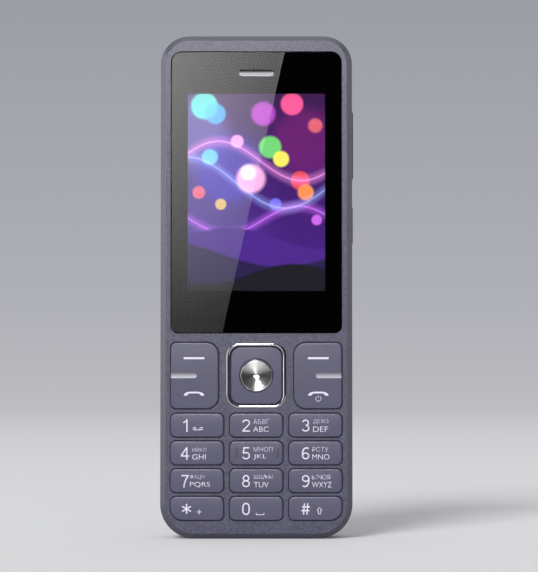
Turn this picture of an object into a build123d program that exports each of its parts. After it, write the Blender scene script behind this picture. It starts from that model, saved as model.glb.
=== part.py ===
"""A feature phone with a keypad, as an assembly of separate pieces, in millimetres.

The phone stands on its bottom edge. +Z runs up its height, the screen and the keys face -Y,
and +X is to the right of someone who looks at the screen. The origin lies at the middle of
the foot. Pieces are stacked along Y, so most profiles are drawn on a plane at some depth y
and extruded towards the viewer.
"""
import os
from math import radians, sin, sqrt

from build123d import *

os.makedirs("parts", exist_ok=True)

# Body
body_width = 48.6
body_height = 127.4
body_depth = 13.2
corner_top = 7.2
corner_bottom = 8.7
bevel_width = 1.4
bevel_depth = 1.9
bevel_round = 0.8
side_wall = 1.3
front_wall = 1.2
overrun = 1.0
small = 0.001

# Clearances
seat_gap = 0.05
part_gap = 0.1
slide_gap = 0.2
tilt_gap = 0.08

# Travel of the keys
press_travel = 0.4
side_travel = 0.3
tilt_angle = 1.8
tilt_share = sin(radians(tilt_angle))

# Battery cover
cover_depth = 3.5
cover_wall = 1.2
cover_round = 3.0
tab_length = 5.0
tab_thickness = 0.7
tab_reach = 1.2
tab_root = 1.2
pry_width = 7.0
pry_depth = 0.8
pry_inset = 12.0

# Lens and printed border
lens_margin_side = 2.7
lens_margin_top = 4.2
lens_thickness = 1.0
lens_sink = 0.1
lens_edge = 0.15
lens_corner_top = 2.7
lens_corner_bottom = 1.8
tape_thickness = 0.15
tape_inset = 0.1
ledge_thickness = 0.8
window_margin = 0.6
picture_side = 4.2
picture_top = 10.6
picture_bottom = 10.7

# Earpiece
ear_width = 8.7
ear_height = 1.65
ear_round = 0.6
ear_drop = 5.4
mesh_thickness = 0.5
mesh_hole_radius = 0.13
mesh_pitch = 0.38
mesh_rim = 0.3
receiver_width = 10.0
receiver_height = 6.0
receiver_round = 1.5

# Display module
panel_border_side = 2.6
panel_border_top = 1.5
panel_border_bottom = 4.8
panel_thickness = 1.2
backlight_thickness = 0.8
tray_wall = 0.2
flex_width = 12.0
flex_thickness = 0.15
flex_foot = 3.0

# Number keys
keypad_bottom = 4.7
keypad_margin = 2.7
key_height = 6.0
key_gap_x = 1.5
key_gap_z = 0.97
key_corner = 1.4
key_corner_outer = 3.1
key_proud = 0.35
key_crown = 0.15
key_edge = 0.4
key_lip_x = 0.4
key_lip_z = 0.15
key_flange = 0.6
plunger_radius = 1.2
ridge_length = 2.5
ridge_width = 0.7
ridge_height = 0.25
ridge_inset = 1.5

# Function keys beside the navigation ring
function_gap = 1.13
function_height = 16.7
function_crown = 0.25
function_corner_inner = 3.0
function_corner_outer = 1.4
function_lip = 0.35
function_reach = 5.4
fulcrum_width = 8.0
fulcrum_radius = 0.4
inlay_length = 6.6
inlay_height = 1.3
inlay_depth = 0.4
inlay_thickness = 0.3

# Navigation ring, pad and OK button
ring_width = 15.2
ring_height = 16.6
ring_corner = 3.4
ring_band = 0.9
ring_proud = 0.3
ring_edge = 0.4
ring_seat = 0.5
ring_ledge = 0.3
nav_gap = 1.9
nav_play = 0.2
pad_corner = 2.4
pad_sink = 0.1
pad_crown = 0.2
pad_edge = 0.3
pad_rim = 0.2
pad_lip = 0.45
pad_flange = 0.5
pad_plunger_radius = 0.5
pad_plunger_gap = 0.5
carrier_lip = 0.35
carrier_band = 1.1
carrier_thickness = 0.3
nub_radius = 0.28
nub_length = 0.7
ok_radius = 4.0
ok_proud = 0.05
ok_rim = 0.35
ok_dish = 0.25
ok_lip = 0.45
ok_flange = 0.4
lens_gap_below = 2.35

# Keypad mat, film and domes
mat_hole_radius = 2.4
mat_edge = 0.4
film_thickness = 0.1
dome_height = 0.25
dome_radius = 2.0
pad_dome_radius = 1.5
dome_taper = 60.0

# Main board
board_margin = 3.1
board_bottom = 3.4
board_top = 4.6
board_corner = 4.0
board_thickness = 0.8
component_room = 1.6
component_gap = 0.1

# Chassis behind the board, with the battery bay
block_gap = 1.2
block_back_gap = 0.4
block_wall = 1.0
block_round = 0.6
bay_floor = 0.8
bay_bottom = 37.0
bay_camera_gap = 15.0
rail_width = 3.7
battery_gap = 0.2
battery_back_gap = 0.3
battery_round = 1.2
hollow_side = 6.0
hollow_wall = 3.6
hollow_round = 3.0
lower_hollow_side = 3.4
lower_hollow_wall = 2.0

# Case screws
boss_radius = 1.7
screw_radius = 0.7
screw_length = 4.0
screw_head_radius = 1.3
screw_head = 0.8
screw_floor = 1.2
screw_recess = 0.4
recess_width = 0.35
recess_span = 1.4
upper_screw_drop = 7.9
upper_screw_inset = 2.9
lower_screw_rise = 1.5

# Audio jack in the top edge
jack_screw_gap = 2.3
jack_width = 6.0
jack_depth = 5.0
jack_length = 14.0
jack_bore_radius = 1.8
jack_nose_radius = 2.3
jack_end_wall = 0.8

# Charging socket in the bottom edge
socket_width = 7.6
socket_height = 2.9
socket_length = 5.6
socket_wall = 0.3
socket_round = 0.9
socket_sink = 0.4
socket_entry = 0.3
tongue_width = 5.0
tongue_thickness = 0.7
tongue_length = 4.0

# Microphone
mic_x = 9.5
mic_width = 4.0
mic_height = 3.0
mic_thickness = 1.2
mic_port_radius = 0.5
mic_boot_radius = 0.9

# Camera and flash light
camera_drop = 17.0
camera_size = 8.0
camera_back_gap = 1.5
camera_barrel_radius = 3.0
camera_window_radius = 3.8
camera_window_thickness = 0.6
camera_ring_radius = 4.9
camera_ring_bore = 3.0
camera_ring_proud = 0.15
camera_ring_edge = 0.3
flash_x = -9.0
flash_radius = 1.5
flash_flange_radius = 2.1
flash_flange = 0.6
led_size = 2.0
led_height = 0.7
pipe_gap = 0.2

# Loudspeaker
speaker_side_gap = 2.0
speaker_top_gap = 4.0
speaker_radius = 7.5
speaker_thickness = 3.2
cone_radius = 5.8
cone_depth = 0.5
sound_window = 9.6
grille_hole_radius = 0.5
grille_pitch = 2.0
grille_columns = 5
grille_rows = 4

# Vibration motor
motor_side_gap = 1.1
motor_floor_gap = 5.6
motor_share = 0.36
motor_length = 8.0
motor_back_gap = 0.2
shaft_radius = 0.4
shaft_play = 0.05
weight_step = 0.1
weight_length = 2.2
weight_gap = 0.4
shaft_grip = 2.0

# Card holders and shield cans on the back of the board
holder_height = 1.4
holder_wall = 0.25
card_slot = 0.8
holder_gap = 1.0
sim_share = 0.26
memory_share = 0.24
sim_side_gap = 1.2
sim_middle_gap = 2.0
memory_width = 13.0
can_wall = 0.2
can_round = 0.8
can_side_gap = 1.7
can_middle_gap = 3.0
contact_width = 9.0
contact_length = 3.2
contact_leaf_width = 1.2
contact_leaf_pitch = 2.6
contact_leaf_reach = 0.25
contact_leaf_height = 1.6

# Antenna strip on the back of the chassis
antenna_width = 32.0
antenna_height = 7.0
antenna_thickness = 0.15
antenna_bottom = 6.0
antenna_round = 1.0

# Side keys and the switches behind them
volume_drop = 27.6
volume_length = 17.5
volume_reach = 5.2
side_key_pitch = 20.5
power_length = 9.6
side_key_width = 2.2
side_key_round = 0.9
volume_proud = 0.4
power_proud = 0.3
side_flange = 0.4
side_lip = 0.4
side_plunger_width = 1.0
switch_depth = 2.6
switch_length = 4.4
switch_height = 1.5
actuator_reach = 0.4
actuator_width = 0.8
actuator_gap = 0.2

# Depths, from the front of the body to its back
front_y = -body_depth / 2
back_y = body_depth / 2
wall_back_y = front_y + front_wall
lens_front_y = front_y + lens_sink
lens_back_y = lens_front_y + lens_thickness
tape_back_y = lens_back_y + tape_thickness
ledge_back_y = tape_back_y + ledge_thickness
panel_front_y = ledge_back_y + seat_gap
panel_back_y = panel_front_y + panel_thickness
light_back_y = panel_back_y + backlight_thickness
board_front_y = light_back_y + tray_wall
board_back_y = board_front_y + board_thickness
film_front_y = board_front_y - film_thickness
dome_top_y = film_front_y - dome_height
chassis_front_y = board_back_y + component_room
bay_floor_y = chassis_front_y + bay_floor
parting_y = back_y - cover_depth
cover_front_y = parting_y + part_gap
cover_inner_y = back_y - cover_wall
block_back_y = cover_inner_y - block_back_gap
hollow_back_y = block_back_y - block_wall

# Widths
half_width = body_width / 2
inner_half = half_width - side_wall
board_half = half_width - board_margin
block_inset = cover_wall + block_gap
block_half = half_width - block_inset
bay_half = block_half - rail_width
hollow_half = block_half - hollow_side
lower_hollow_half = block_half - lower_hollow_side

# Number keys
key_width = (body_width - 2 * keypad_margin - 2 * key_gap_x) / 3
key_pitch_x = key_width + key_gap_x
key_pitch_z = key_height + key_gap_z
key_flange_front_y = wall_back_y + part_gap
key_flange_back_y = key_flange_front_y + key_flange
mat_front_y = key_flange_back_y + press_travel + part_gap
plunger_end_y = dome_top_y - press_travel - seat_gap

# Function keys
function_width = half_width - keypad_margin - ring_width / 2 - nav_gap
function_x = half_width - keypad_margin - function_width / 2
function_bottom_z = keypad_bottom + 4 * key_height + 3 * key_gap_z + function_gap
function_z = function_bottom_z + function_height / 2
function_play = tilt_share * (function_height / 2 + function_lip) + tilt_gap
function_flange_front_y = wall_back_y + function_play
function_flange_back_y = mat_front_y - function_play
function_dip = tilt_share * (function_reach + plunger_radius)
function_plunger_end_y = dome_top_y - function_dip - seat_gap
fulcrum_y = mat_front_y - seat_gap - fulcrum_radius

# Navigation pad on its rocking frame
pad_width = ring_width - 2 * ring_band - 2 * nav_play
pad_height = ring_height - 2 * ring_band - 2 * nav_play
pad_play = tilt_share * (pad_width / 2 + pad_height / 2 + 2 * pad_lip) + tilt_gap
pad_flange_front_y = wall_back_y + pad_play
pad_back_y = pad_flange_front_y + pad_flange
carrier_width = pad_width + 2 * pad_lip + 2 * carrier_lip
carrier_height = pad_height + 2 * pad_lip + 2 * carrier_lip
pad_plunger_inset = carrier_band + pad_plunger_radius + pad_plunger_gap
pad_reach_x = carrier_width / 2 - pad_plunger_inset
pad_reach_z = carrier_height / 2 - pad_plunger_inset
carrier_front_y = pad_back_y + tilt_share * (pad_width / 2 + pad_lip) + tilt_gap
carrier_back_y = carrier_front_y + carrier_thickness
carrier_seat_y = carrier_back_y + tilt_share * carrier_height / 2 + tilt_gap
carrier_pivot_y = carrier_seat_y - seat_gap - nub_radius
pad_pivot_y = carrier_front_y - seat_gap - nub_radius
pad_dip = tilt_share * (pad_reach_x + pad_reach_z)
pad_plunger_end_y = dome_top_y - pad_dip - seat_gap
ok_flange_front_y = pad_back_y + tilt_share * sqrt(2) * (ok_radius + ok_lip) + seat_gap
ok_flange_back_y = ok_flange_front_y + ok_flange

# Lens, picture and display module
lens_bottom_z = function_bottom_z + function_height + lens_gap_below
lens_top_z = body_height - lens_margin_top
lens_width = body_width - 2 * lens_margin_side
lens_height = lens_top_z - lens_bottom_z
lens_z = (lens_top_z + lens_bottom_z) / 2
picture_width = lens_width - 2 * picture_side
picture_bottom_z = lens_bottom_z + picture_bottom
picture_top_z = lens_top_z - picture_top
picture_height = picture_top_z - picture_bottom_z
picture_z = (picture_top_z + picture_bottom_z) / 2
panel_width = picture_width + 2 * panel_border_side
panel_bottom_z = picture_bottom_z - panel_border_bottom
panel_top_z = picture_top_z + panel_border_top
panel_height = panel_top_z - panel_bottom_z
panel_z = (panel_top_z + panel_bottom_z) / 2
ear_z = lens_top_z - ear_drop
display_floor_z = lens_bottom_z - lens_gap_below / 2

# Battery bay and hollows of the chassis
camera_z = body_height - camera_drop
bay_top_z = camera_z - camera_size / 2 - bay_camera_gap
bay_z = (bay_bottom + bay_top_z) / 2
battery_length = bay_top_z - bay_bottom - 2 * battery_gap
battery_width = 2 * bay_half - 2 * battery_gap
battery_front_y = bay_floor_y + part_gap
battery_back_y = cover_inner_y - battery_back_gap
battery_edge = min(battery_round, (battery_back_y - battery_front_y) / 2 - seat_gap)
hollow_bottom_z = bay_top_z + hollow_wall
hollow_top_z = body_height - block_inset - block_wall
lower_hollow_bottom_z = block_inset + block_wall
lower_hollow_top_z = bay_bottom - lower_hollow_wall

# Screws
upper_screw_x = block_half - upper_screw_inset
upper_screw_z = body_height - upper_screw_drop
lower_screw_x = block_half - rail_width / 2
lower_screw_z = lens_bottom_z + lower_screw_rise
screw_places = [
    (-upper_screw_x, upper_screw_z),
    (upper_screw_x, upper_screw_z),
    (-lower_screw_x, lower_screw_z),
    (lower_screw_x, lower_screw_z),
]
screw_seat_y = chassis_front_y + screw_floor

# Sockets, camera, speaker and motor
jack_x = upper_screw_x - boss_radius - jack_screw_gap - jack_width / 2
jack_y = board_front_y + jack_depth / 2 + seat_gap
jack_bottom_z = body_height - jack_length
socket_y = board_back_y + seat_gap + socket_height / 2
camera_base_y = hollow_back_y - camera_back_gap
mic_y = board_back_y + mic_thickness / 2
speaker_x = speaker_side_gap + speaker_radius - lower_hollow_half
speaker_z = lower_hollow_top_z - speaker_top_gap - speaker_radius
motor_radius = motor_share * (hollow_back_y - board_back_y)
weight_radius = motor_radius - weight_step
motor_y = hollow_back_y - motor_back_gap - motor_radius
motor_z = lower_hollow_bottom_z + motor_floor_gap + motor_radius
can_start_x = lower_hollow_half - motor_side_gap - motor_length
motor_x = can_start_x - weight_gap - weight_length

# Card holders, from the top of the bay down, and shield cans over the rest of the bay
rows_length = bay_top_z - bay_bottom - 4 * holder_gap
sim_length = sim_share * rows_length
memory_length = memory_share * rows_length
sim_width = bay_half - sim_side_gap - sim_middle_gap / 2
sim_x = (sim_width + sim_middle_gap) / 2
sim_z = bay_top_z - holder_gap - sim_length / 2
memory_z = sim_z - sim_length / 2 - holder_gap - memory_length / 2
can_width = bay_half - can_side_gap - can_middle_gap / 2
can_x = (can_width + can_middle_gap) / 2
can_top_z = memory_z - memory_length / 2 - holder_gap
can_bottom_z = bay_bottom + holder_gap
can_length = can_top_z - can_bottom_z
can_z = (can_top_z + can_bottom_z) / 2

# Side keys
volume_z = body_height - volume_drop
power_z = volume_z - side_key_pitch
side_y = board_back_y + switch_height / 2
switch_face_x = board_half - part_gap
actuator_x = switch_face_x + actuator_reach
volume_play = tilt_share * (volume_length / 2 + side_lip) + tilt_gap
volume_flange_x = inner_half - volume_play
volume_pivot_x = board_half + seat_gap + side_plunger_width / 2
power_flange_x = inner_half - part_gap


def at_depth(y):
    """Drawing plane at depth y that faces the viewer: local x is +X and local y is +Z."""
    return Plane.XZ.offset(-y)


def at_side(x):
    """Drawing plane at x that faces right: local x is +Y and local y is +Z."""
    return Plane.YZ.offset(x)


def save(piece, name):
    """Labels a finished piece and writes it to its own file."""
    piece.part.label = name
    export_step(piece.part, f"parts/{name}.step")


def block(x_low, x_high, y_low, y_high, z_low, z_high, mode=Mode.ADD):
    """Box between two opposite corners."""
    middle = ((x_low + x_high) / 2, (y_low + y_high) / 2, (z_low + z_high) / 2)
    with Locations(middle):
        Box(x_high - x_low, y_high - y_low, z_high - z_low, mode=mode)


def body_outline(inset):
    """Outline of the whole body, drawn inwards by inset."""
    with Locations((0, body_height / 2)):
        Rectangle(body_width - 2 * inset, body_height - 2 * inset)
    fillet(vertices().group_by(Axis.Y)[-1], corner_top - inset)
    fillet(vertices().group_by(Axis.Y)[0], corner_bottom - inset)


def lens_outline(inset):
    """Outline of the lens, drawn inwards by inset."""
    with Locations((0, lens_z)):
        Rectangle(lens_width - 2 * inset, lens_height - 2 * inset)
    fillet(vertices().group_by(Axis.Y)[-1], lens_corner_top - inset)
    fillet(vertices().group_by(Axis.Y)[0], lens_corner_bottom - inset)


def ear_slot(inset):
    """Outline of the earpiece slot, drawn inwards by inset."""
    with Locations((0, ear_z)):
        RectangleRounded(ear_width - 2 * inset, ear_height - 2 * inset, ear_round - inset)


def key_outline(row, column, spread_x, spread_z):
    """Outline of one number key, grown sideways and upwards by the two spreads."""
    key_x = (column - 1) * key_pitch_x
    key_z = keypad_bottom + key_height / 2 + row * key_pitch_z
    with Locations((key_x, key_z)):
        Rectangle(key_width + 2 * spread_x, key_height + 2 * spread_z)
    if row > 0 or column == 1:
        fillet(vertices(), key_corner + spread_z)
    else:
        outer = 0 if column == 0 else -1
        sharp = vertices().group_by(Axis.Y)[0].sort_by(Axis.X)[outer]
        fillet([corner for corner in vertices() if corner != sharp], key_corner + spread_z)
        left_over = vertices().group_by(Axis.Y)[0].sort_by(Axis.X)[outer]
        fillet(left_over, key_corner_outer + spread_z)


def function_outline(side, spread):
    """Outline of the function key on one side (-1 left, 1 right), grown by spread."""
    with Locations((side * function_x, function_z)):
        Rectangle(function_width + 2 * spread, function_height + 2 * spread)
    inner, outer = (0, -1) if side > 0 else (-1, 0)
    fillet(vertices().group_by(Axis.X)[inner], function_corner_inner + spread)
    fillet(vertices().group_by(Axis.X)[outer], function_corner_outer + spread)


def nav_outline(width, height, corner):
    """Rounded rectangle round the middle of the navigation ring."""
    with Locations((0, function_z)):
        RectangleRounded(width, height, corner)


# Front housing: a shell that is open at the back
with BuildPart() as front_housing:
    with BuildSketch(at_depth(parting_y)):
        body_outline(0)
    extrude(amount=parting_y - front_y)
    front_face = faces().sort_by(Axis.Y)[0]
    chamfer(front_face.edges(), bevel_width, bevel_depth, reference=front_face)
    crease_y = front_y + bevel_depth
    crease = edges().filter_by_position(Axis.Y, crease_y - small, crease_y + small)
    fillet(crease, bevel_round)
    # Inside: shallow behind the display, deeper behind the keys
    with BuildSketch(at_depth(parting_y)):
        body_outline(side_wall)
    extrude(amount=parting_y - ledge_back_y, mode=Mode.SUBTRACT)
    with BuildSketch(at_depth(ledge_back_y)):
        body_outline(side_wall)
        with Locations((0, display_floor_z + body_height / 2)):
            Rectangle(body_width, body_height, mode=Mode.SUBTRACT)
    extrude(amount=ledge_back_y - wall_back_y, mode=Mode.SUBTRACT)
    # Lens pocket, display window and earpiece duct
    with BuildSketch(at_depth(tape_back_y)):
        lens_outline(-part_gap)
    extrude(amount=tape_back_y - front_y + overrun, mode=Mode.SUBTRACT)
    with BuildSketch(at_depth(ledge_back_y)):
        with Locations((0, picture_z)):
            Rectangle(picture_width + 2 * window_margin, picture_height + 2 * window_margin)
        ear_slot(mesh_rim)
    extrude(amount=ledge_thickness + overrun, mode=Mode.SUBTRACT)
    # Openings for the keys
    for row in range(4):
        for column in range(3):
            with BuildSketch(at_depth(wall_back_y)):
                key_outline(row, column, slide_gap, slide_gap)
    for side in (-1, 1):
        with BuildSketch(at_depth(wall_back_y)):
            function_outline(side, slide_gap)
    with BuildSketch(at_depth(wall_back_y)):
        nav_outline(ring_width - 2 * ring_seat, ring_height - 2 * ring_seat, ring_corner - ring_seat)
    extrude(amount=front_wall + overrun, mode=Mode.SUBTRACT)
    with BuildSketch(at_depth(wall_back_y - ring_ledge)):
        nav_outline(ring_width, ring_height, ring_corner)
    extrude(amount=front_wall + overrun, mode=Mode.SUBTRACT)
    # Side keys
    with BuildSketch(at_side(half_width + overrun)):
        with Locations((side_y, volume_z)):
            RectangleRounded(side_key_width + 2 * slide_gap, volume_length + 2 * slide_gap, side_key_round)
        with Locations((side_y, power_z)):
            RectangleRounded(side_key_width + 2 * slide_gap, power_length + 2 * slide_gap, side_key_round)
    extrude(amount=-side_wall - 2 * overrun, mode=Mode.SUBTRACT)
    # Audio jack, charging socket and microphone port
    with BuildSketch(Plane.XY.offset(body_height + overrun)):
        with Locations((jack_x, jack_y)):
            Circle(jack_nose_radius + part_gap)
    extrude(amount=-side_wall - 2 * overrun, mode=Mode.SUBTRACT)
    with BuildSketch(Plane.XY.offset(-overrun)):
        with Locations((0, socket_y)):
            RectangleRounded(socket_width + 2 * socket_entry, socket_height + 2 * part_gap, socket_round)
        with Locations((mic_x, mic_y)):
            Circle(mic_port_radius)
    extrude(amount=side_wall + 2 * overrun, mode=Mode.SUBTRACT)
    # Screw bosses with their pilot holes
    with BuildSketch(at_depth(chassis_front_y - seat_gap)):
        with Locations(*screw_places):
            Circle(boss_radius)
    extrude(amount=chassis_front_y - seat_gap - ledge_back_y)
    with BuildSketch(at_depth(chassis_front_y)):
        with Locations(*screw_places):
            Circle(screw_radius + seat_gap)
    extrude(amount=screw_length, mode=Mode.SUBTRACT)
save(front_housing, "front_housing")

# Lens with the earpiece slot
with BuildPart() as display_lens:
    with BuildSketch(at_depth(lens_back_y)):
        lens_outline(0)
    extrude(amount=lens_thickness)
    chamfer(faces().sort_by(Axis.Y)[0].edges(), lens_edge)
    with BuildSketch(at_depth(lens_back_y)):
        ear_slot(0)
    extrude(amount=lens_thickness, mode=Mode.SUBTRACT)
save(display_lens, "display_lens")

# Black printed and glued border behind the lens
with BuildPart() as lens_tape:
    with BuildSketch(at_depth(tape_back_y)):
        lens_outline(tape_inset)
        with Locations((0, picture_z)):
            Rectangle(picture_width, picture_height, mode=Mode.SUBTRACT)
        with Locations((0, ear_z)):
            RectangleRounded(
                ear_width - 2 * mesh_rim,
                ear_height - 2 * mesh_rim,
                ear_round - mesh_rim,
                mode=Mode.SUBTRACT,
            )
    extrude(amount=tape_thickness)
save(lens_tape, "lens_tape")

# Earpiece mesh: a perforated plate in the slot of the lens
mesh_columns = int((ear_width - 2 * mesh_rim) / mesh_pitch)
mesh_rows = int((ear_height - 2 * mesh_rim) / mesh_pitch)
with BuildPart() as earpiece_mesh:
    with BuildSketch(at_depth(lens_back_y)):
        ear_slot(seat_gap)
        with Locations((0, ear_z)):
            with GridLocations(mesh_pitch, mesh_pitch, mesh_columns, mesh_rows):
                Circle(mesh_hole_radius, mode=Mode.SUBTRACT)
    extrude(amount=mesh_thickness)
save(earpiece_mesh, "earpiece_mesh")

# Earpiece capsule between the front wall and the board
with BuildPart() as earpiece_speaker:
    with BuildSketch(at_depth(board_front_y)):
        with Locations((0, ear_z)):
            RectangleRounded(receiver_width, receiver_height, receiver_round)
    extrude(amount=board_front_y - ledge_back_y - seat_gap)
    with BuildSketch(at_depth(ledge_back_y + 2 * seat_gap)):
        with Locations((0, ear_z)):
            RectangleRounded(receiver_width / 2, ear_height, ear_round)
    extrude(amount=2 * seat_gap, mode=Mode.SUBTRACT)
save(earpiece_speaker, "earpiece_speaker")

# Display panel, its backlight and the metal tray round both
with BuildPart() as lcd_panel:
    with BuildSketch(at_depth(panel_back_y)):
        with Locations((0, panel_z)):
            Rectangle(panel_width, panel_height)
    extrude(amount=panel_thickness)
save(lcd_panel, "lcd_panel")

with BuildPart() as lcd_backlight:
    with BuildSketch(at_depth(light_back_y)):
        with Locations((0, panel_z)):
            Rectangle(panel_width, panel_height)
    extrude(amount=backlight_thickness)
save(lcd_backlight, "lcd_backlight")

with BuildPart() as lcd_frame:
    with BuildSketch(at_depth(board_front_y)):
        with Locations((0, panel_z)):
            Rectangle(
                panel_width + 2 * (tray_wall + seat_gap),
                panel_height + 2 * (tray_wall + seat_gap),
            )
    extrude(amount=board_front_y - panel_front_y)
    with BuildSketch(at_depth(light_back_y)):
        with Locations((0, panel_z)):
            Rectangle(panel_width + 2 * seat_gap, panel_height + 2 * seat_gap)
    extrude(amount=light_back_y - panel_front_y + overrun, mode=Mode.SUBTRACT)
    # Gap in the lower wall where the flex leaves the panel
    block(
        -flex_width / 2 - part_gap,
        flex_width / 2 + part_gap,
        panel_front_y - overrun,
        light_back_y,
        panel_bottom_z - overrun,
        panel_bottom_z,
        Mode.SUBTRACT,
    )
save(lcd_frame, "lcd_frame")

# Flex from the lower end of the panel down to the board
flex_top_z = panel_bottom_z - seat_gap
flex_drop_z = flex_top_z - tray_wall - part_gap
with BuildPart() as lcd_flex:
    block(
        -flex_width / 2,
        flex_width / 2,
        panel_back_y - flex_thickness,
        panel_back_y,
        flex_drop_z,
        flex_top_z,
    )
    block(
        -flex_width / 2,
        flex_width / 2,
        panel_back_y - flex_thickness,
        board_front_y,
        flex_drop_z - flex_thickness,
        flex_drop_z,
    )
    block(
        -flex_width / 2,
        flex_width / 2,
        board_front_y - flex_thickness,
        board_front_y,
        flex_drop_z - flex_foot,
        flex_drop_z,
    )
save(lcd_flex, "lcd_flex")

# Main board, cut away at the screw bosses and the audio jack
board_top_z = body_height - board_top
with BuildPart() as main_board:
    with BuildSketch(at_depth(board_back_y)):
        with Locations((0, (board_bottom + board_top_z) / 2)):
            Rectangle(2 * board_half, board_top_z - board_bottom)
        fillet(vertices(), board_corner)
        for side in (-1, 1):
            with Locations((side * (upper_screw_x + board_half), upper_screw_z + board_half)):
                corner_cut = 2 * (board_half + boss_radius + part_gap)
                Rectangle(corner_cut, corner_cut, mode=Mode.SUBTRACT)
            with Locations((side * (lower_screw_x + board_half), lower_screw_z)):
                side_cut = 2 * (boss_radius + part_gap)
                Rectangle(2 * board_half + side_cut, side_cut, mode=Mode.SUBTRACT)
        with Locations((jack_x, jack_bottom_z + jack_length / 2)):
            Rectangle(
                jack_width + 2 * part_gap, jack_length + 2 * part_gap, mode=Mode.SUBTRACT
            )
    extrude(amount=board_thickness)
save(main_board, "main_board")

# Places where the keys press, as (x, z, radius of the dome)
key_places = [
    ((column - 1) * key_pitch_x, keypad_bottom + key_height / 2 + row * key_pitch_z)
    for row in range(4)
    for column in range(3)
]
function_places = [
    (side * function_x, function_z + end * function_reach) for side in (-1, 1) for end in (-1, 1)
]
pad_places = [
    (-pad_reach_x, function_z),
    (pad_reach_x, function_z),
    (0, function_z - pad_reach_z),
    (0, function_z + pad_reach_z),
]

# Film with the metal domes, on the front of the board
film_bottom_z = board_bottom + mat_edge
film_top_z = display_floor_z - mat_edge
with BuildPart() as dome_film:
    with BuildSketch(at_depth(board_front_y)):
        with Locations((0, (film_bottom_z + film_top_z) / 2)):
            Rectangle(2 * (board_half - mat_edge), film_top_z - film_bottom_z)
        fillet(vertices().group_by(Axis.Y)[0], board_corner)
    extrude(amount=film_thickness)
save(dome_film, "dome_film")

with BuildPart() as key_domes:
    with BuildSketch(at_depth(film_front_y)):
        with Locations(*key_places, *function_places, (0, function_z)):
            Circle(dome_radius)
        with Locations(*pad_places):
            Circle(pad_dome_radius)
    extrude(amount=dome_height, taper=dome_taper)
save(key_domes, "key_domes")

# Silicone mat between the keys and the board
carrier_room_width = carrier_width + 2 * slide_gap
carrier_room_height = carrier_height + 2 * slide_gap
with BuildPart() as keypad_mat:
    with BuildSketch(at_depth(film_front_y)):
        body_outline(side_wall + mat_edge)
        with Locations((0, display_floor_z - mat_edge + body_height / 2)):
            Rectangle(body_width, body_height, mode=Mode.SUBTRACT)
        with Locations(*key_places, *function_places):
            Circle(mat_hole_radius, mode=Mode.SUBTRACT)
        with Locations((0, function_z)):
            Rectangle(
                carrier_width - 2 * carrier_band,
                carrier_height - 2 * carrier_band,
                mode=Mode.SUBTRACT,
            )
    extrude(amount=film_front_y - mat_front_y)
    with BuildSketch(at_depth(carrier_seat_y)):
        with Locations((0, function_z)):
            Rectangle(carrier_room_width, carrier_room_height)
    extrude(amount=carrier_seat_y - mat_front_y + overrun, mode=Mode.SUBTRACT)
    # Relief behind the seat of the frame for the domes of the navigation pad
    with BuildSketch(at_depth(film_front_y)):
        with Locations(*pad_places):
            Circle(pad_dome_radius + slide_gap)
    extrude(amount=dome_height + slide_gap, mode=Mode.SUBTRACT)
save(keypad_mat, "keypad_mat")


def arc_radius(span, rise):
    """Radius of the arc over a span whose middle stands above its ends by rise."""
    return (span**2 / 4 + rise**2) / (2 * rise)


def crown_front(top_y, middle_z, height, crown):
    """Rounds the front of a cap, so that its upper and lower edges lie behind its middle by crown."""
    radius = arc_radius(height, crown)
    with Locations((0, top_y + radius, middle_z)):
        Cylinder(radius, body_width, rotation=(0, 90, 0), mode=Mode.INTERSECT)


# Number keys: a proud cap, a flange behind the wall and a plunger over the dome
key_names = [
    ["key_star", "key_0", "key_hash"],
    ["key_7", "key_8", "key_9"],
    ["key_4", "key_5", "key_6"],
    ["key_1", "key_2", "key_3"],
]
key_top_y = front_y - key_proud
for row, names in enumerate(key_names):
    for column, name in enumerate(names):
        with BuildPart() as number_key:
            with BuildSketch(at_depth(key_flange_front_y)):
                key_outline(row, column, 0, 0)
            extrude(amount=key_flange_front_y - key_top_y)
            middle_x, middle_z = key_places[3 * row + column]
            crown_front(key_top_y, middle_z, key_height, key_crown)
            fillet(faces().sort_by(Axis.Y)[0].edges(), key_edge)
            with BuildSketch(at_depth(key_flange_back_y)):
                key_outline(row, column, slide_gap + key_lip_x, slide_gap + key_lip_z)
            extrude(amount=key_flange)
            with BuildSketch(at_depth(plunger_end_y)):
                with Locations((middle_x, middle_z)):
                    Circle(plunger_radius)
            extrude(amount=plunger_end_y - key_flange_back_y)
            if name == "key_5":
                # Two raised ridges that a finger finds without looking
                ridge_x = key_width / 2 - ridge_inset
                with BuildSketch(at_depth(key_top_y + key_crown)):
                    with Locations((middle_x - ridge_x, middle_z), (middle_x + ridge_x, middle_z)):
                        SlotOverall(ridge_length, ridge_width, rotation=90)
                extrude(amount=key_crown + ridge_height)
                ridge_tops = faces().sort_by(Axis.Y)[:2]
                fillet(ridge_tops.edges(), ridge_height - seat_gap)
        save(number_key, name)

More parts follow.
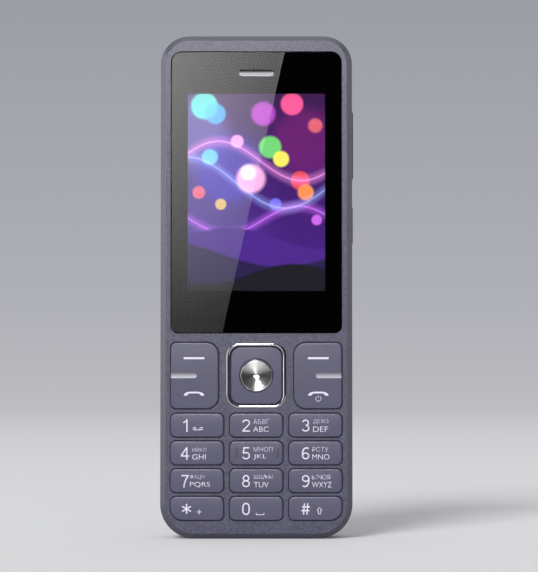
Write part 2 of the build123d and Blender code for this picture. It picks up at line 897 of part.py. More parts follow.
# Function keys: each rocks on a half-round rib behind its middle and carries a metal inlay
function_top_y = front_y - key_proud
for side, name in ((-1, "left"), (1, "right")):
    inlay_outer_x = function_x + function_width / 2
    inlay_inner_x = inlay_outer_x - inlay_length
    inlay_x = side * (inlay_outer_x + inlay_inner_x) / 2
    with BuildPart() as function_key:
        with BuildSketch(at_depth(function_flange_front_y)):
            function_outline(side, 0)
        extrude(amount=function_flange_front_y - function_top_y)
        crown_front(function_top_y, function_z, function_height, function_crown)
        fillet(faces().sort_by(Axis.Y)[0].edges(), key_edge)
        with BuildSketch(at_depth(function_flange_back_y)):
            function_outline(side, function_lip)
        extrude(amount=function_flange_back_y - function_flange_front_y)
        with BuildSketch(at_depth(function_plunger_end_y)):
            with Locations(
                (side * function_x, function_z - function_reach),
                (side * function_x, function_z + function_reach),
            ):
                Circle(plunger_radius)
        extrude(amount=function_plunger_end_y - function_flange_back_y)
        with BuildSketch(at_side(side * function_x - fulcrum_width / 2)):
            with Locations((fulcrum_y, function_z)):
                Circle(fulcrum_radius)
        extrude(amount=fulcrum_width)
        # Groove for the inlay, rounded at its inner end and open at its outer end
        with BuildSketch(at_depth(function_top_y + inlay_depth)):
            with Locations((inlay_x, function_z)):
                Rectangle(inlay_length, inlay_height)
            inner_end = -1 if side < 0 else 0
            fillet(vertices().group_by(Axis.X)[inner_end], inlay_height / 2 - small)
        extrude(amount=inlay_depth + overrun, mode=Mode.SUBTRACT)
    save(function_key, f"{name}_key")

    with BuildPart() as inlay:
        with BuildSketch(at_depth(function_top_y + inlay_depth)):
            with Locations((inlay_x, function_z)):
                Rectangle(inlay_length, inlay_height)
            fillet(vertices().group_by(Axis.X)[inner_end], inlay_height / 2 - small)
        extrude(amount=inlay_thickness)
        outer_face = faces().sort_by(Axis.X)[-1 if side > 0 else 0]
        fillet(outer_face.edges().sort_by(Axis.Y)[0], inlay_thickness - seat_gap)
    save(inlay, f"{name}_inlay")

# Metal ring round the navigation pad, seated on a ledge of the front housing
with BuildPart() as nav_ring:
    with BuildSketch(at_depth(wall_back_y - ring_ledge)):
        nav_outline(ring_width, ring_height, ring_corner)
        with Locations((0, function_z)):
            RectangleRounded(
                ring_width - 2 * ring_band,
                ring_height - 2 * ring_band,
                ring_corner - ring_band,
                mode=Mode.SUBTRACT,
            )
    extrude(amount=front_wall - ring_ledge + ring_proud)
    fillet(faces().sort_by(Axis.Y)[0].edges(), ring_edge)
save(nav_ring, "nav_ring")

# Frame on which the navigation pad rocks: it tips up and down on two round nubs of its own
with BuildPart() as nav_carrier:
    with BuildSketch(at_depth(carrier_back_y)):
        nav_outline(carrier_width, carrier_height, pad_corner)
        with Locations((0, function_z)):
            Rectangle(
                carrier_width - 2 * carrier_band,
                carrier_height - 2 * carrier_band,
                mode=Mode.SUBTRACT,
            )
    extrude(amount=carrier_thickness)
    nub_x = (carrier_width - carrier_band) / 2
    for side in (-1, 1):
        with BuildSketch(at_side(side * nub_x - nub_length / 2)):
            with Locations((carrier_pivot_y, function_z)):
                Circle(nub_radius)
        extrude(amount=nub_length)
save(nav_carrier, "nav_carrier")

# Navigation pad: it tips left and right on two round nubs that bear on the frame
pad_nub_z = (carrier_height - carrier_band) / 2 - slide_gap
with BuildPart() as nav_pad:
    with BuildSketch(at_depth(pad_flange_front_y)):
        nav_outline(pad_width, pad_height, pad_corner)
    extrude(amount=pad_flange_front_y - front_y - pad_sink)
    pad_dome = arc_radius(pad_height, pad_crown)
    with Locations((0, front_y + pad_sink + pad_dome, function_z)):
        Sphere(pad_dome, mode=Mode.INTERSECT)
    fillet(faces().sort_by(Axis.Y)[0].edges(), pad_edge)
    with BuildSketch(at_depth(pad_back_y)):
        nav_outline(pad_width + 2 * pad_lip, pad_height + 2 * pad_lip, pad_corner + pad_lip)
    extrude(amount=pad_flange)
    with BuildSketch(at_depth(pad_back_y)):
        with Locations((0, function_z)):
            Circle(ok_radius + nav_play)
    extrude(amount=pad_back_y - front_y + overrun, mode=Mode.SUBTRACT)
    chamfer(faces().sort_by(Axis.Y)[0].inner_wires().edges(), pad_rim)
    with BuildSketch(at_depth(pad_plunger_end_y)):
        with Locations(*pad_places):
            Circle(pad_plunger_radius)
    extrude(amount=pad_plunger_end_y - pad_back_y)
    for end in (-1, 1):
        with BuildSketch(Plane.XY.offset(function_z + end * pad_nub_z - nub_length / 2)):
            with Locations((0, pad_pivot_y)):
                Circle(nub_radius)
        extrude(amount=nub_length)
save(nav_pad, "nav_pad")

# OK button: a turned cap with a shallow dish, a flange and a plunger
ok_top_y = front_y - ok_proud
with BuildPart() as ok_button:
    with BuildSketch(Plane.XY.offset(function_z)):
        with BuildLine():
            Polyline(
                (0, ok_top_y + ok_dish),
                (0, plunger_end_y),
                (plunger_radius, plunger_end_y),
                (plunger_radius, ok_flange_back_y),
                (ok_radius + ok_lip, ok_flange_back_y),
                (ok_radius + ok_lip, ok_flange_front_y),
                (ok_radius, ok_flange_front_y),
                (ok_radius, ok_top_y + ok_rim / 2),
                (ok_radius - ok_rim / 2, ok_top_y),
                (ok_radius - ok_rim, ok_top_y),
            )
            TangentArc(
                (0, ok_top_y + ok_dish),
                (ok_radius - ok_rim, ok_top_y),
                tangent=(1, 0),
            )
        make_face()
    revolve(axis=Axis((0, 0, function_z), (0, 1, 0)))
save(ok_button, "ok_button")

# Volume key: it rocks on a round nub that bears on the edge of the board
side_cap_x = half_width + volume_proud
with BuildPart() as volume_key:
    with BuildSketch(at_side(volume_flange_x)):
        with Locations((side_y, volume_z)):
            RectangleRounded(side_key_width, volume_length, side_key_round)
    extrude(amount=side_cap_x - volume_flange_x)
    fillet(faces().sort_by(Axis.X)[-1].edges(), key_edge)
    with BuildSketch(at_side(volume_flange_x - side_flange)):
        with Locations((side_y, volume_z)):
            RectangleRounded(
                side_key_width + 2 * side_lip, volume_length + 2 * side_lip, side_key_round
            )
    extrude(amount=side_flange)
    volume_end_x = actuator_x + actuator_gap + tilt_share * (volume_reach + side_plunger_width)
    with BuildSketch(at_side(volume_end_x)):
        with Locations((side_y, volume_z - volume_reach), (side_y, volume_z + volume_reach)):
            Rectangle(side_plunger_width, side_plunger_width)
    extrude(amount=volume_flange_x - side_flange - volume_end_x)
    nub_back_y = side_y + side_plunger_width / 2
    with BuildSketch(at_depth(nub_back_y)):
        with Locations((volume_pivot_x, volume_z)):
            Circle(side_plunger_width / 2)
    extrude(amount=nub_back_y - board_front_y)
    block(
        volume_pivot_x,
        volume_flange_x - side_flange,
        board_front_y,
        nub_back_y,
        volume_z - side_plunger_width / 2,
        volume_z + side_plunger_width / 2,
    )
save(volume_key, "volume_key")

# Power key: it slides straight in
with BuildPart() as power_key:
    with BuildSketch(at_side(power_flange_x)):
        with Locations((side_y, power_z)):
            RectangleRounded(side_key_width, power_length, side_key_round)
    extrude(amount=half_width + power_proud - power_flange_x)
    fillet(faces().sort_by(Axis.X)[-1].edges(), key_edge - seat_gap)
    with BuildSketch(at_side(power_flange_x - side_flange)):
        with Locations((side_y, power_z)):
            RectangleRounded(side_key_width + 2 * side_lip, power_length + 2 * side_lip, side_key_round)
    extrude(amount=side_flange)
    power_end_x = actuator_x + side_travel + seat_gap
    with BuildSketch(at_side(power_end_x)):
        with Locations((side_y, power_z)):
            Rectangle(side_plunger_width, side_plunger_width)
    extrude(amount=power_flange_x - side_flange - power_end_x)
save(power_key, "power_key")

# Switches at the edge of the board, one for each place that a side key presses
with BuildPart() as side_switches:
    for switch_z in (volume_z - volume_reach, volume_z + volume_reach, power_z):
        block(
            switch_face_x - switch_depth,
            switch_face_x,
            board_back_y,
            board_back_y + switch_height,
            switch_z - switch_length / 2,
            switch_z + switch_length / 2,
        )
        block(
            switch_face_x,
            actuator_x,
            side_y - actuator_width / 2,
            side_y + actuator_width / 2,
            switch_z - actuator_width,
            switch_z + actuator_width,
        )
save(side_switches, "side_switches")

# Chassis: a slab inside the front housing, a raised block, the battery bay and two hollows
with BuildPart() as rear_housing:
    with BuildSketch(at_depth(parting_y)):
        body_outline(side_wall + part_gap)
    extrude(amount=parting_y - chassis_front_y)
    with BuildSketch(at_depth(block_back_y)):
        body_outline(block_inset)
    extrude(amount=block_back_y - chassis_front_y)
    fillet(faces().sort_by(Axis.Y)[-1].edges(), block_round)
    block(
        -bay_half,
        bay_half,
        bay_floor_y,
        block_back_y + overrun,
        bay_bottom,
        bay_top_z,
        Mode.SUBTRACT,
    )
    with BuildSketch(at_depth(hollow_back_y)):
        with Locations((0, (hollow_bottom_z + hollow_top_z) / 2)):
            RectangleRounded(2 * hollow_half, hollow_top_z - hollow_bottom_z, hollow_round)
        with Locations((0, (lower_hollow_bottom_z + lower_hollow_top_z) / 2)):
            RectangleRounded(
                2 * lower_hollow_half,
                lower_hollow_top_z - lower_hollow_bottom_z,
                hollow_round,
            )
    extrude(amount=hollow_back_y - chassis_front_y + overrun, mode=Mode.SUBTRACT)
    # Windows in the bay floor over the card holders, and the gap for the battery contacts
    with BuildSketch(at_depth(bay_floor_y)):
        with Locations((-sim_x, sim_z), (sim_x, sim_z)):
            Rectangle(sim_width, sim_length)
        with Locations((0, memory_z)):
            Rectangle(memory_width, memory_length)
    extrude(amount=bay_floor + overrun, mode=Mode.SUBTRACT)
    block(
        -contact_width / 2 - part_gap,
        contact_width / 2 + part_gap,
        chassis_front_y - overrun,
        hollow_back_y,
        bay_top_z - overrun,
        hollow_bottom_z + overrun,
        Mode.SUBTRACT,
    )
    # Ways out for the audio jack and the charging socket
    block(
        jack_x - jack_width / 2 - part_gap,
        jack_x + jack_width / 2 + part_gap,
        chassis_front_y - overrun,
        jack_y + jack_depth / 2 + part_gap,
        jack_bottom_z,
        body_height,
        Mode.SUBTRACT,
    )
    block(
        -socket_width / 2 - socket_entry,
        socket_width / 2 + socket_entry,
        chassis_front_y - overrun,
        socket_y + socket_height / 2 + part_gap,
        0,
        socket_sink + socket_length + part_gap,
        Mode.SUBTRACT,
    )
    # Room for the flanges of the side keys
    for middle_z, length in ((volume_z, volume_length), (power_z, power_length)):
        block(
            board_half,
            half_width,
            chassis_front_y - overrun,
            side_y + side_key_width / 2 + side_lip + slide_gap,
            middle_z - length / 2 - side_lip - 2 * slide_gap,
            middle_z + length / 2 + side_lip + 2 * slide_gap,
            Mode.SUBTRACT,
        )
    # Openings in the back wall for the sound, the camera and the flash light
    with BuildSketch(at_depth(block_back_y)):
        with Locations((speaker_x, speaker_z)):
            RectangleRounded(sound_window, sound_window - grille_pitch, hollow_round)
        with Locations((0, camera_z)):
            Circle(camera_barrel_radius + slide_gap)
        with Locations((flash_x, camera_z)):
            Circle(flash_radius + part_gap)
    extrude(amount=block_wall + overrun, mode=Mode.SUBTRACT)
    # Screw holes with room for the heads
    with BuildSketch(at_depth(block_back_y)):
        with Locations(*screw_places):
            Circle(screw_head_radius + slide_gap)
    extrude(amount=block_back_y - screw_seat_y, mode=Mode.SUBTRACT)
    with BuildSketch(at_depth(screw_seat_y)):
        with Locations(*screw_places):
            Circle(screw_radius + seat_gap)
    extrude(amount=screw_floor + overrun, mode=Mode.SUBTRACT)
    # Pockets in the edge for the tabs of the battery cover
    tab_outer_x = inner_half - slide_gap
    tab_inner_x = tab_outer_x - tab_thickness
    upper_tab_z = volume_z + volume_length / 2 + side_lip + tab_length
    tab_places = [bay_bottom - tab_length, bay_z, upper_tab_z]
    for tab_z in tab_places:
        for side in (-1, 1):
            with BuildSketch(at_depth(parting_y)):
                with Locations((side * (tab_inner_x + tab_outer_x) / 2, tab_z)):
                    Rectangle(
                        tab_thickness + 4 * slide_gap,
                        tab_length + 2 * slide_gap,
                    )
    extrude(amount=tab_reach + slide_gap, mode=Mode.SUBTRACT)
save(rear_housing, "rear_housing")

# Screws: a head on the chassis, a shank into the boss, a cross recess
with BuildPart() as case_screws:
    with BuildSketch(at_depth(screw_seat_y + screw_head)):
        with Locations(*screw_places):
            Circle(screw_head_radius)
    extrude(amount=screw_head)
    with BuildSketch(at_depth(screw_seat_y)):
        with Locations(*screw_places):
            Circle(screw_radius)
    extrude(amount=screw_length - screw_recess)
    with BuildSketch(at_depth(screw_seat_y + screw_head)):
        with Locations(*screw_places):
            Rectangle(recess_span, recess_width)
            Rectangle(recess_width, recess_span)
    extrude(amount=screw_recess, mode=Mode.SUBTRACT)
save(case_screws, "case_screws")

# Battery cover: a dish with rounded back edges, tabs, a grille and a camera hole
with BuildPart() as battery_cover:
    with BuildSketch(at_depth(back_y)):
        body_outline(0)
    extrude(amount=back_y - cover_front_y)
    fillet(faces().sort_by(Axis.Y)[-1].edges(), cover_round)
    # The inside is cut with a tool that has the same round, less the wall
    with BuildPart(mode=Mode.PRIVATE) as cover_tool:
        with BuildSketch(at_depth(cover_inner_y)):
            body_outline(cover_wall)
        extrude(amount=cover_inner_y - cover_front_y + overrun)
        fillet(faces().sort_by(Axis.Y)[-1].edges(), cover_round - cover_wall)
    add(cover_tool.part, mode=Mode.SUBTRACT)
    with BuildSketch(at_depth(back_y + overrun)):
        with Locations((speaker_x, speaker_z)):
            with GridLocations(grille_pitch, grille_pitch, grille_columns, grille_rows):
                Circle(grille_hole_radius)
        with Locations((0, camera_z)):
            Circle(camera_ring_radius + slide_gap)
        with Locations((flash_x, camera_z)):
            Circle(flash_radius + slide_gap)
    extrude(amount=cover_wall + 2 * overrun, mode=Mode.SUBTRACT)
    # Tabs: a root on the wall and a blade that dips behind the wall of the front housing
    for tab_z in tab_places:
        for side in (-1, 1):
            blade = sorted((side * tab_inner_x, side * tab_outer_x))
            root = sorted((side * tab_inner_x, side * (half_width - cover_wall / 2)))
            tab_low_z = tab_z - tab_length / 2
            tab_high_z = tab_z + tab_length / 2
            block(*blade, parting_y - tab_reach, cover_front_y, tab_low_z, tab_high_z)
            block(*root, cover_front_y, cover_front_y + tab_root, tab_low_z, tab_high_z)
    # Notch for a fingernail in the lower edge
    block(
        -pry_inset - pry_width / 2,
        -pry_inset + pry_width / 2,
        cover_front_y - overrun,
        cover_front_y + pry_depth,
        -overrun,
        cover_wall + overrun,
        Mode.SUBTRACT,
    )
    # Clearance round the audio jack and the charging socket where the cover reaches them
    with Locations((jack_x, jack_y, body_height)):
        Cylinder(jack_nose_radius + part_gap, 2 * (cover_wall + overrun), mode=Mode.SUBTRACT)
    block(
        -socket_width / 2 - socket_entry,
        socket_width / 2 + socket_entry,
        socket_y,
        socket_y + socket_height / 2 + part_gap,
        -overrun,
        cover_wall + overrun,
        Mode.SUBTRACT,
    )
save(battery_cover, "battery_cover")

# Battery in its bay
with BuildPart() as battery:
    with BuildSketch(at_depth(battery_back_y)):
        with Locations((0, bay_z)):
            Rectangle(battery_width, battery_length)
    extrude(amount=battery_back_y - battery_front_y)
    fillet(edges().filter_by(Axis.Z), battery_edge)
save(battery, "battery")

# Battery contacts: a block in the chassis wall with three sprung leaves
leaf_y = (battery_front_y + battery_back_y) / 2
with BuildPart() as battery_contacts:
    block(
        -contact_width / 2,
        contact_width / 2,
        board_back_y,
        hollow_back_y - part_gap,
        bay_top_z + contact_leaf_reach,
        bay_top_z + contact_leaf_reach + contact_length,
    )
    for leaf in (-1, 0, 1):
        block(
            leaf * contact_leaf_pitch - contact_leaf_width / 2,
            leaf * contact_leaf_pitch + contact_leaf_width / 2,
            leaf_y - contact_leaf_height / 2,
            leaf_y + contact_leaf_height / 2,
            bay_top_z,
            bay_top_z + contact_leaf_reach,
        )
save(battery_contacts, "battery_contacts")


def card_holder(middle_x, middle_z, width, length):
    """Metal card holder on the board, open at its lower end."""
    low_z = middle_z - length / 2
    high_z = middle_z + length / 2
    half = width / 2
    block(middle_x - half, middle_x + half, board_back_y, board_back_y + holder_height, low_z, high_z)
    slot_y = board_back_y + (holder_height - card_slot) / 2
    block(
        middle_x - half + holder_wall,
        middle_x + half - holder_wall,
        slot_y,
        slot_y + card_slot,
        low_z - overrun,
        high_z - holder_wall,
        Mode.SUBTRACT,
    )


card_clear = 2 * component_gap
for side, name in ((-1, "sim_holder_1"), (1, "sim_holder_2")):
    with BuildPart() as sim_holder:
        card_holder(side * sim_x, sim_z, sim_width - card_clear, sim_length)
    save(sim_holder, name)

with BuildPart() as memory_holder:
    card_holder(0, memory_z, memory_width - card_clear, memory_length)
save(memory_holder, "memory_card_holder")

# Shield cans: thin metal boxes that are open towards the board
for side, name in ((-1, "radio_shield"), (1, "processor_shield")):
    with BuildPart() as shield:
        with BuildSketch(at_depth(board_back_y + holder_height)):
            with Locations((side * can_x, can_z)):
                RectangleRounded(can_width, can_length, can_round)
        extrude(amount=holder_height)
        with BuildSketch(at_depth(board_back_y + holder_height - can_wall)):
            with Locations((side * can_x, can_z)):
                Rectangle(can_width - 2 * can_wall, can_length - 2 * can_wall)
            fillet(vertices(), can_round - can_wall)
        extrude(amount=holder_height, mode=Mode.SUBTRACT)
    save(shield, name)

# Audio jack: a body behind the display, a round nose in the top wall and a blind bore
with BuildPart() as audio_jack:
    jack_top_z = body_height - side_wall - seat_gap
    block(
        jack_x - jack_width / 2,
        jack_x + jack_width / 2,
        jack_y - jack_depth / 2,
        jack_y + jack_depth / 2,
        jack_bottom_z,
        jack_top_z,
    )
    with BuildSketch(Plane.XY.offset(jack_top_z)):
        with Locations((jack_x, jack_y)):
            Circle(jack_nose_radius)
    extrude(amount=side_wall + seat_gap - lens_sink)
    with BuildSketch(Plane.XY.offset(jack_bottom_z + jack_end_wall)):
        with Locations((jack_x, jack_y)):
            Circle(jack_bore_radius)
    extrude(amount=jack_length, mode=Mode.SUBTRACT)
save(audio_jack, "audio_jack")

# Charging socket: a drawn metal shell with a tongue inside
with BuildPart() as usb_shell:
    with BuildSketch(Plane.XY.offset(socket_sink)):
        with Locations((0, socket_y)):
            RectangleRounded(socket_width, socket_height, socket_round)
    extrude(amount=socket_length)
    with BuildSketch(Plane.XY.offset(socket_sink)):
        with Locations((0, socket_y)):
            RectangleRounded(
                socket_width - 2 * socket_wall,
                socket_height - 2 * socket_wall,
                socket_round - socket_wall,
            )
    extrude(amount=socket_length - socket_wall, mode=Mode.SUBTRACT)
save(usb_shell, "usb_shell")

with BuildPart() as usb_tongue:
    with BuildSketch(Plane.XY.offset(socket_sink + socket_length - socket_wall)):
        with Locations((0, socket_y)):
            Rectangle(tongue_width, tongue_thickness)
    extrude(amount=-tongue_length)
save(usb_tongue, "usb_tongue")

# Microphone on the board, with a rubber boot from its port to the bottom wall
with BuildPart() as microphone:
    block(
        mic_x - mic_width / 2,
        mic_x + mic_width / 2,
        board_back_y,
        board_back_y + mic_thickness,
        board_bottom,
        board_bottom + mic_height,
    )
save(microphone, "microphone")

with BuildPart() as mic_boot:
    with BuildSketch(Plane.XY.offset(side_wall + seat_gap)):
        with Locations((mic_x, mic_y)):
            Circle(mic_boot_radius)
            Circle(mic_port_radius, mode=Mode.SUBTRACT)
    extrude(amount=board_bottom - side_wall - 2 * seat_gap)
save(mic_boot, "mic_boot")

# Camera module, its outer ring on the chassis and the window in the ring
ring_back_y = back_y + camera_ring_proud
window_back_y = ring_back_y - camera_ring_edge
with BuildPart() as camera_module:
    with BuildSketch(at_depth(camera_base_y)):
        with Locations((0, camera_z)):
            Rectangle(camera_size, camera_size)
    extrude(amount=camera_base_y - board_back_y)
    with BuildSketch(at_depth(block_back_y)):
        with Locations((0, camera_z)):
            Circle(camera_barrel_radius)
    extrude(amount=block_back_y - camera_base_y)
save(camera_module, "camera_module")

with BuildPart() as camera_ring:
    with BuildSketch(at_depth(ring_back_y)):
        with Locations((0, camera_z)):
            Circle(camera_ring_radius)
    extrude(amount=ring_back_y - block_back_y)
    chamfer(faces().sort_by(Axis.Y)[-1].edges(), camera_ring_edge)
    with BuildSketch(at_depth(ring_back_y)):
        with Locations((0, camera_z)):
            Circle(camera_window_radius + seat_gap)
    extrude(amount=camera_ring_edge + camera_window_thickness, mode=Mode.SUBTRACT)
    with BuildSketch(at_depth(ring_back_y)):
        with Locations((0, camera_z)):
            Circle(camera_ring_bore)
    extrude(amount=ring_back_y - block_back_y, mode=Mode.SUBTRACT)
save(camera_ring, "camera_ring")

with BuildPart() as camera_window:
    with BuildSketch(at_depth(window_back_y)):
        with Locations((0, camera_z)):
            Circle(camera_window_radius)
    extrude(amount=camera_window_thickness)
save(camera_window, "camera_window")

# Flash: a light pipe through the chassis and the cover, over the LED on the board
with BuildPart() as flash_led:
    block(
        flash_x - led_size / 2,
        flash_x + led_size / 2,
        board_back_y,
        board_back_y + led_height,
        camera_z - led_size / 2,
        camera_z + led_size / 2,
    )
save(flash_led, "flash_led")

with BuildPart() as flash_light_pipe:
    with BuildSketch(at_depth(back_y)):
        with Locations((flash_x, camera_z)):
            Circle(flash_radius)
    extrude(amount=back_y - board_back_y - led_height - pipe_gap)
    with BuildSketch(at_depth(hollow_back_y - seat_gap)):
        with Locations((flash_x, camera_z)):
            Circle(flash_flange_radius)
    extrude(amount=flash_flange)
save(flash_light_pipe, "flash_light_pipe")

# Loudspeaker against the back wall of the lower hollow
with BuildPart() as loudspeaker:
    with BuildSketch(at_depth(hollow_back_y - seat_gap)):
        with Locations((speaker_x, speaker_z)):
            Circle(speaker_radius)
    extrude(amount=speaker_thickness)
    with BuildSketch(at_depth(hollow_back_y - seat_gap)):
        with Locations((speaker_x, speaker_z)):
            Circle(cone_radius)
    extrude(amount=cone_depth, taper=dome_taper, mode=Mode.SUBTRACT)
save(loudspeaker, "loudspeaker")

# Vibration motor: a can with a bore for the shaft, and the shaft with its eccentric weight
with BuildPart() as vibration_motor:
    with BuildSketch(at_side(can_start_x)):
        with Locations((motor_y, motor_z)):
            Circle(motor_radius)
    extrude(amount=motor_length)
    with BuildSketch(at_side(can_start_x)):
        with Locations((motor_y, motor_z)):
            Circle(shaft_radius + shaft_play)
    extrude(amount=shaft_grip + weight_gap, mode=Mode.SUBTRACT)
save(vibration_motor, "vibration_motor")

with BuildPart() as motor_weight:
    with BuildSketch(at_side(motor_x)):
        with Locations((motor_y, motor_z)):
            Circle(weight_radius)
        with Locations((motor_y, motor_z + weight_radius)):
            Rectangle(2 * weight_radius, 2 * weight_radius, mode=Mode.SUBTRACT)
        with Locations((motor_y, motor_z)):
            Circle(2 * shaft_radius)
    extrude(amount=weight_length)
    with BuildSketch(at_side(motor_x)):
        with Locations((motor_y, motor_z)):
            Circle(shaft_radius)
    extrude(amount=weight_length + weight_gap + shaft_grip)
save(motor_weight, "motor_weight")

# Antenna strip on the back of the chassis
with BuildPart() as antenna_flex:
    with BuildSketch(at_depth(block_back_y + antenna_thickness)):
        with Locations((0, antenna_bottom + antenna_height / 2)):
            RectangleRounded(antenna_width, antenna_height, antenna_round)
    extrude(amount=antenna_thickness)
save(antenna_flex, "antenna_flex")
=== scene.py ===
"""Looks of a feature phone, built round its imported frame: finishes, key legends, a lit picture
on the screen, and a plain studio. All lengths are in metres, in the frame of the CAD model."""
import math

import bpy
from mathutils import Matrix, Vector
from mathutils.bvhtree import BVHTree


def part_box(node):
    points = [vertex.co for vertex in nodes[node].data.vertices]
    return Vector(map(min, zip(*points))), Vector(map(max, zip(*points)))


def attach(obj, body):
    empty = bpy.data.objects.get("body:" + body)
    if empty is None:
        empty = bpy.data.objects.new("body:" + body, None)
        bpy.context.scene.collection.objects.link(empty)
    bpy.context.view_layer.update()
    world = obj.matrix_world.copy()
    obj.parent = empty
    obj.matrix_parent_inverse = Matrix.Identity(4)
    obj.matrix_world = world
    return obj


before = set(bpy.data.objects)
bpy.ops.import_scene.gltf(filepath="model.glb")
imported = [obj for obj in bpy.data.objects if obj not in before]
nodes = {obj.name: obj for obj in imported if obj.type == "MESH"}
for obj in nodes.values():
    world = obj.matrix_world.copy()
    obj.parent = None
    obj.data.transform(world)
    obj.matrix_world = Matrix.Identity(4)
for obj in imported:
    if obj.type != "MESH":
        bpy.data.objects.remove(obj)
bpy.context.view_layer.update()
MM = 0.001


def tone(red, green, blue):
    """Linear colour from display values between 0 and 255, by the curve of a standard display."""
    shares = [value / 255 for value in (red, green, blue)]
    return [s / 12.92 if s <= 0.04045 else ((s + 0.055) / 1.055) ** 2.4 for s in shares] + [1.0]


def scaled(colour, factor):
    """A linear colour made darker or lighter by a factor."""
    return [min(1.0, part * factor) for part in colour[:3]] + [1.0]


def into_scene(name, data):
    """Object of a mesh, curve, lamp or camera, put into the scene."""
    made = bpy.data.objects.new(name, data)
    bpy.context.scene.collection.objects.link(made)
    return made


class Shader:
    """A material under construction, with short ways to add, join and set its nodes."""

    def __init__(self, name):
        self.material = bpy.data.materials.new(name)
        self.material.use_nodes = True
        self.tree = self.material.node_tree
        self.bsdf = self.tree.nodes["Principled BSDF"]
        self.place = self.add("ShaderNodeTexCoord").outputs["Object"]

    def add(self, kind, **settings):
        """New node of a kind, with its settings."""
        made = self.tree.nodes.new(kind)
        for key, value in settings.items():
            setattr(made, key, value)
        return made

    def join(self, source, target):
        """Link from one node's output to another's input."""
        self.tree.links.new(source, target)

    def feed(self, socket, source):
        """Joins source to a socket, or sets it there when it is a plain value."""
        if isinstance(source, bpy.types.NodeSocket):
            self.join(source, socket)
        else:
            socket.default_value = source

    def put(self, **values):
        """Sets or joins sockets of the main shader, named with _ for a space."""
        for key, value in values.items():
            self.feed(self.bsdf.inputs[key.replace("_", " ")], value)

    def show(self, source):
        """Makes source the look of the surface, in place of the main shader."""
        self.join(source, self.tree.nodes["Material Output"].inputs["Surface"])

    def math(self, operation, first, second=0.0):
        """Result of a sum on numbers or sockets."""
        made = self.add("ShaderNodeMath", operation=operation)
        self.feed(made.inputs[0], first)
        self.feed(made.inputs[1], second)
        return made.outputs[0]

    def axes(self, vector=None):
        """The x, y and z of a vector, or of the place on the object."""
        split = self.add("ShaderNodeSeparateXYZ")
        self.join(vector or self.place, split.inputs[0])
        return split.outputs["X"], split.outputs["Y"], split.outputs["Z"]

    def distance(self, middle_x, middle_z):
        """Distance from a line that runs straight back at an x and a z."""
        x, _, z = self.axes()
        off_x = self.math("SUBTRACT", x, middle_x)
        off_z = self.math("SUBTRACT", z, middle_z)
        square = self.math("ADD", self.math("POWER", off_x, 2.0), self.math("POWER", off_z, 2.0))
        return self.math("SQRT", square)

    def noise(self, size, detail=2.0, stretch=(1, 1, 1)):
        """Noise whose features are about size across, longer along an axis with a low stretch."""
        mapping = self.add("ShaderNodeMapping")
        mapping.inputs["Scale"].default_value = stretch
        self.join(self.place, mapping.inputs["Vector"])
        made = self.add("ShaderNodeTexNoise")
        made.inputs["Scale"].default_value = 1 / size
        made.inputs["Detail"].default_value = detail
        self.join(mapping.outputs[0], made.inputs["Vector"])
        return made.outputs["Fac"]

    def blend(self, factor, first, second, kind="MIX"):
        """Mix of two colours. The node's sockets for colours are its inputs 6 and 7 and output 2."""
        made = self.add("ShaderNodeMix", data_type="RGBA", blend_type=kind)
        self.feed(made.inputs[0], factor)
        self.feed(made.inputs[6], first)
        self.feed(made.inputs[7], second)
        return made.outputs[2]

    def ramp(self, value, low, high, out_low=0.0, out_high=1.0, smooth=True):
        """Value taken from the span low to high onto another span."""
        made = self.add("ShaderNodeMapRange")
        if smooth:
            made.interpolation_type = "SMOOTHSTEP"
        self.feed(made.inputs["Value"], value)
        made.inputs["From Min"].default_value = low
        made.inputs["From Max"].default_value = high
        made.inputs["To Min"].default_value = out_low
        made.inputs["To Max"].default_value = out_high
        return made.outputs["Result"]

    def bump(self, height, depth):
        """Fine relief of the surface, depth deep where height is 1."""
        made = self.add("ShaderNodeBump")
        made.inputs["Distance"].default_value = depth
        self.feed(made.inputs["Height"], height)
        self.put(Normal=made.outputs["Normal"])


def moulded(name, colour, roughness, grain=0.34 * MM, depth=0.02 * MM, speckle=0.2, everywhere=True):
    """Moulded plastic: fine grain, a faint speckle and cloudy colour. The grain can be kept to
    the faces that look straight forward or back, so that the bevels stay smooth."""
    shader = Shader(name)
    fine = shader.noise(grain, 3.0)
    cloud = shader.noise(size=9 * MM)
    if everywhere:
        mask = 1.0
    else:
        normal = shader.add("ShaderNodeNewGeometry").outputs["Normal"]
        mask = shader.ramp(shader.math("ABSOLUTE", shader.axes(normal)[1]), 0.96, 0.995)
    speckled = shader.math("MULTIPLY", shader.ramp(fine, 0.38, 0.62), mask)
    light = shader.blend(cloud, scaled(colour, 0.95), scaled(colour, 1.05))
    dark = shader.blend(cloud, scaled(colour, 0.95 - speckle), scaled(colour, 1.05 - speckle))
    shader.put(
        Base_Color=shader.blend(speckled, dark, light),
        Roughness=shader.ramp(fine, 0.3, 0.7, roughness - 0.05, roughness + 0.05),
    )
    shader.bump(shader.math("MULTIPLY", fine, mask), depth)
    return shader.material


def metal(name, colour, roughness, stretch=(1, 1, 1), depth=0.002 * MM):
    """Bare metal with faint brush marks, long along the axes that have a low stretch."""
    shader = Shader(name)
    marks = shader.noise(0.08 * MM, 3.0, stretch)
    shader.put(
        Base_Color=shader.blend(marks, scaled(colour, 0.88), scaled(colour, 1.08)),
        Roughness=shader.ramp(marks, 0.3, 0.7, roughness * 0.8, roughness * 1.2),
        Metallic=1.0,
    )
    shader.bump(marks, depth)
    return shader.material


